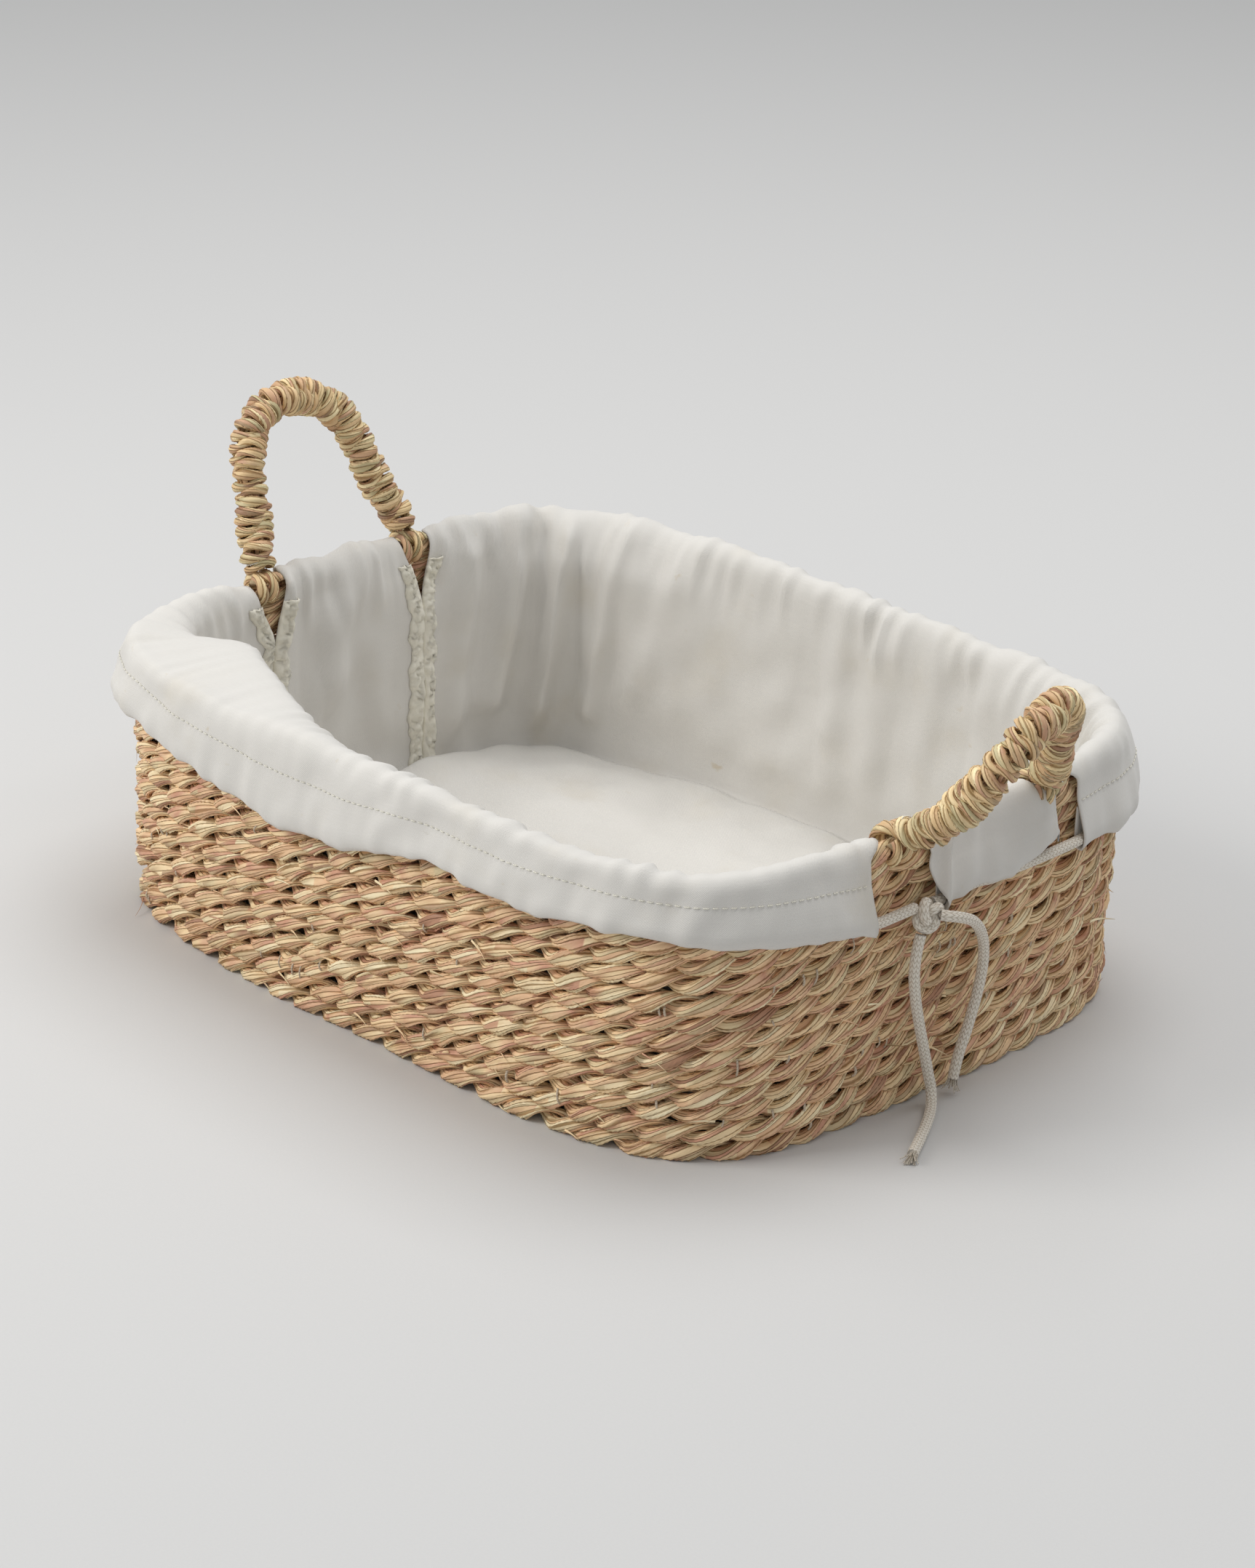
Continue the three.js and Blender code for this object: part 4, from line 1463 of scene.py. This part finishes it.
@dataclass
class Drawcord:
    """The knitted cord: its run in the hem, its knot and its two free tails.

    Attributes:
        finishes: The basket's materials.
        radius: Half the cord's thickness.
        wales: Columns of stitches round the cord.
        stitch: Length of one stitch.
        near_route: Points of the tail nearer the front, in millimetres.
        far_route: Points of the other tail, in millimetres.
    """

    finishes: Finishes
    radius: float = 2.3 * MM
    wales: int = 8
    stitch: float = 2.3 * MM
    near_route: tuple = (
        (209.5, -31.5, 83), (209.7, -33, 78.5), (209.8, -34.1, 73), (209.6, -34.2, 66.5),
        (209.2, -33, 59.5), (208.9, -31.2, 52), (208.5, -28.7, 44), (208.2, -26.1, 36),
        (207.9, -23.5, 28.5), (207.7, -21.2, 21.5),
        (207.8, -19.2, 14.5), (208.9, -18.2, 8), (212.8, -22, 3.3), (219.5, -31, 2.7), (228, -45, 2.6),
        (236.5, -60, 2.6))
    far_route: tuple = (
        (213.2, -24, 91), (215.6, -21.6, 90.6), (216.8, -16.5, 89), (216.6, -9.5, 85.8),
        (215.6, -4.5, 82.3), (214, 0.5, 77.6), (212.4, 4.6, 72), (211, 7.5, 66), (210, 9, 59.5),
        (209.3, 9.2, 52.5), (208.8, 8, 44),
        (208.4, 6, 36), (208.2, 3.5, 28), (208, 0.5, 20.5), (208.1, -1.9, 13.5), (208.3, -3.6, 7.5))

    def knitted(self, name: str, line: np.ndarray, up: Vector, step: float = 0.6 * MM) -> bpy.types.Mesh:
        """Knitted tube along a line, with its stitches raised.

        Args:
            name: Name of the mesh.
            line: Points that it follows.
            up: A direction that is never along the line.
            step: Length between stations.

        Returns:
            The mesh.
        """
        route, length = follow(line, up), float(run_of(line)[-1])

        def place(u: np.ndarray, v: np.ndarray) -> tuple[np.ndarray, np.ndarray]:
            centre, side, rise = route(u)
            angle = 2 * math.pi * v
            local = np.abs(np.mod(self.wales * v, 1) - 0.5)
            chevron = np.abs(np.sin(math.pi * (u * length / self.stitch + 1.3 * local)))
            relief = 0.16 * MM * chevron * np.where(local < 0.38, 1, 0.3)
            size = (self.radius - 0.08 * MM + relief)[:, None]
            position = centre + size * (np.cos(angle)[:, None] * side + np.sin(angle)[:, None] * rise)
            return position, np.stack([u * length, v], axis=1)

        return shaped_grid(name, int(length / step), 40, place, Closing.AROUND)

    def build_tails(self) -> None:
        """The two free tails, each with its frayed end."""
        for word, route in (("near", self.near_route), ("far", self.far_route)):
            line = flowing_line([tuple(c * MM for c in p) for p in route], 160)
            mesh = self.knitted(f"tail_{word}", line, Vector((1, 0.2, 0)))
            piece = joined(f"cord_tail_{word}", [mesh])
            fit(piece, BODY, "drawcord_cotton", self.finishes.cord, f"drawcord_tail_{word}")
            fray = self.fray(word, line)

    def fray(self, word: str, line: np.ndarray) -> bpy.types.Object:
        """Loose yarn ends at the cut end of a tail."""
        rng = np.random.default_rng(91 if word == "near" else 92)
        tip, along = line[-1], unit(line[-1] - line[-4])
        side = unit(np.cross(along, [0.3, 0.1, 1.0]))
        rise = np.cross(side, along)
        meshes = []
        for _ in range(26):
            turn, reach = rng.uniform(0, 2 * math.pi), rng.uniform(0.2, 0.95) * self.radius
            off = side * math.cos(turn) + rise * math.sin(turn)
            length, spread = rng.uniform(2.5, 6) * MM, rng.uniform(0.1, 0.5)
            points = [tip + off * reach + along * length * t + off * spread * length * t * t
                      for t in (-0.2, 0.3, 0.7, 1)]
            for p in points:
                p[2] = max(p[2], 0.35 * MM)
            yarn = flowing_line([tuple(p) for p in points], 9)
            meshes.append(tube("yarn", yarn, 0.22 * MM, 8, 5, Vector(side)))
        piece = joined(f"cord_fray_{word}", meshes)
        fit(piece, BODY, "drawcord_cotton", self.finishes.yarn)
        return piece

    def build_knot(self) -> None:
        """The overhand knot that closes the drawcord."""
        low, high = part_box("drawcord_knot")
        centre = np.array((low + high) / 2)
        turn = np.linspace(0, 2 * math.pi, 241)
        lobe = 3.9 * MM
        rim = lobe * (1 + 0.5 * np.cos(1.5 * 2 * turn))
        line = centre + np.stack(
            [0.55 * lobe * np.sin(3 * turn), rim * np.cos(2 * turn), rim * np.sin(2 * turn)], axis=1)
        length = float(run_of(line)[-1])
        tangent = unit(np.gradient(line, axis=0))
        side = unit(line - centre - np.sum((line - centre) * tangent, axis=1)[:, None] * tangent)
        route = carried(line, side, np.cross(tangent, side))

        def place(u: np.ndarray, v: np.ndarray) -> tuple[np.ndarray, np.ndarray]:
            middle, out, up = route(np.mod(u, 1))
            angle = 2 * math.pi * v
            local = np.abs(np.mod(self.wales * v, 1) - 0.5)
            chevron = np.abs(np.sin(math.pi * (u * length / self.stitch + 1.3 * local)))
            size = 2.05 * MM + 0.14 * MM * chevron
            position = middle + size[:, None] * (np.cos(angle)[:, None] * out + np.sin(angle)[:, None] * up)
            return position, np.stack([u * length, v], axis=1)

        piece = joined("cord_knot", [shaped_grid("knot", 150, 32, place, Closing.BOTH)])
        fit(piece, BODY, "drawcord_cotton", self.finishes.cord, "drawcord_knot")

    def build_run(self, liner: Liner) -> None:
        """The cord inside the hem channels, bare across the slits."""
        low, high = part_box("drawcord_knot")
        start = liner.outline.mark(End.RIGHT, high.y - 1.5 * MM)
        end = liner.outline.mark(End.RIGHT, low.y + 1.5 * MM) + liner.outline.length
        s = np.linspace(start, end, 900)
        point, outward = liner.outline.at(s)
        slack = liner.unevenness(s, np.full_like(s, liner.hem_depth - 0.004))
        bare = np.min([np.abs(s - place) for place in liner.slit_places()], axis=0)
        slack = slack * smooth_step(bare, 0.016, 0.030)
        line = point + outward * (6.3 * MM + slack)[:, None]
        to_knot = np.exp(-(((s - end) / 0.02) ** 2))
        line[:, 2] = liner.hem_z + 4.6 * MM + to_knot * 0.5 * MM
        line[:, 2] += liner.hem_rise(s, np.full_like(s, liner.hem_depth))
        for word, first, last in (("back", 0, 450), ("front", 449, 900)):
            mesh = self.knitted(f"run_{word}", line[first:last], Vector((0, 0, 1)), 1.2 * MM)
            piece = joined(f"cord_run_{word}", [mesh])
            nodes = ("drawcord_hem_run",) if word == "back" else ()
            fit(piece, BODY, "drawcord_cotton", self.finishes.cord, *nodes)


# ---------------------------------------------------------------------------------------------------
# Stage


def stage_and_camera() -> None:
    """The pale floor, the soft light and the camera."""
    f = Finish("studio_paper")
    coordinates = f.add("TexCoord").outputs["Object"]
    grain = f.noise(coordinates, 900.0, 2.0)
    colour = f.ramp(grain, ((0.0, (0.605, 0.600, 0.592)), (1.0, (0.630, 0.625, 0.617))))
    paper = f.close(colour, 0.9, grain, 0.02 * MM, Specular_IOR_Level=0.1)

    bm = bmesh.new()
    bmesh.ops.create_grid(bm, x_segments=2, y_segments=2, size=6.0)
    mesh = bpy.data.meshes.new("studio_floor")
    bm.to_mesh(mesh)
    bm.free()
    floor = bpy.data.objects.new("studio_floor", mesh)
    floor.data.materials.append(paper)
    bpy.context.scene.collection.objects.link(floor)

    world = bpy.data.worlds.new("studio_air")
    world.use_nodes = True
    air = world.node_tree.nodes["Background"].inputs
    air["Color"].default_value = (0.96, 0.98, 1.0, 1)
    air["Strength"].default_value = 0.48
    bpy.context.scene.world = world
    add_lamp("window", (-1.10, -1.65, 1.45), 1.0, 26.5, (1.0, 0.985, 0.96))
    add_lamp("ceiling", (-0.1, 0.60, 2.2), 1.7, 29.0, (1.0, 1.0, 1.0))
    bpy.context.scene.view_settings.view_transform = "Standard"

    azimuth, elevation, distance, roll = 0.7828, 0.4016, 1.8678, 0.0307
    target = Vector((-0.0194, 0.0262, 0.0600))
    back = Vector((math.sin(azimuth) * math.cos(elevation), -math.cos(azimuth) * math.cos(elevation),
                   math.sin(elevation)))
    data = bpy.data.cameras.new("camera")
    data.sensor_width = 36.0
    data.sensor_fit = "HORIZONTAL"
    data.lens = 117.5
    data.clip_start, data.clip_end = 0.05, 50
    camera = bpy.data.objects.new("camera", data)
    camera.location = target + back * distance
    turn = back.to_track_quat("Z", "Y")
    camera.rotation_mode = "QUATERNION"
    camera.rotation_quaternion = turn @ Quaternion((0, 0, 1), roll)
    bpy.context.scene.collection.objects.link(camera)
    bpy.context.scene.camera = camera


def add_lamp(name: str, place: tuple, size: float, power: float, tint: tuple) -> None:
    """A soft square lamp that faces the basket."""
    data = bpy.data.lights.new(name, "AREA")
    data.shape, data.size, data.energy, data.color = "SQUARE", size, power, tint
    lamp = bpy.data.objects.new(name, data)
    lamp.location = place
    lamp.rotation_euler = (Vector((0, 0, 0.06)) - Vector(place)).to_track_quat("-Z", "Y").to_euler()
    bpy.context.scene.collection.objects.link(lamp)


def main() -> None:
    """Builds the basket in order."""
    logging.basicConfig(level=logging.INFO, format="%(name)s: %(message)s")
    stage_and_camera()
    finishes = Finishes()
    drawcord = Drawcord(finishes)
    drawcord.build_tails()
    drawcord.build_knot()
    liner = Liner(finishes)
    drawcord.build_run(liner)
    liner.build()
    RopeBody(finishes).build()
    Handle(End.LEFT, finishes, LEFT_BEND).build()
    Handle(End.RIGHT, finishes, RIGHT_BEND).build()


if __name__ == "__main__":
    main()
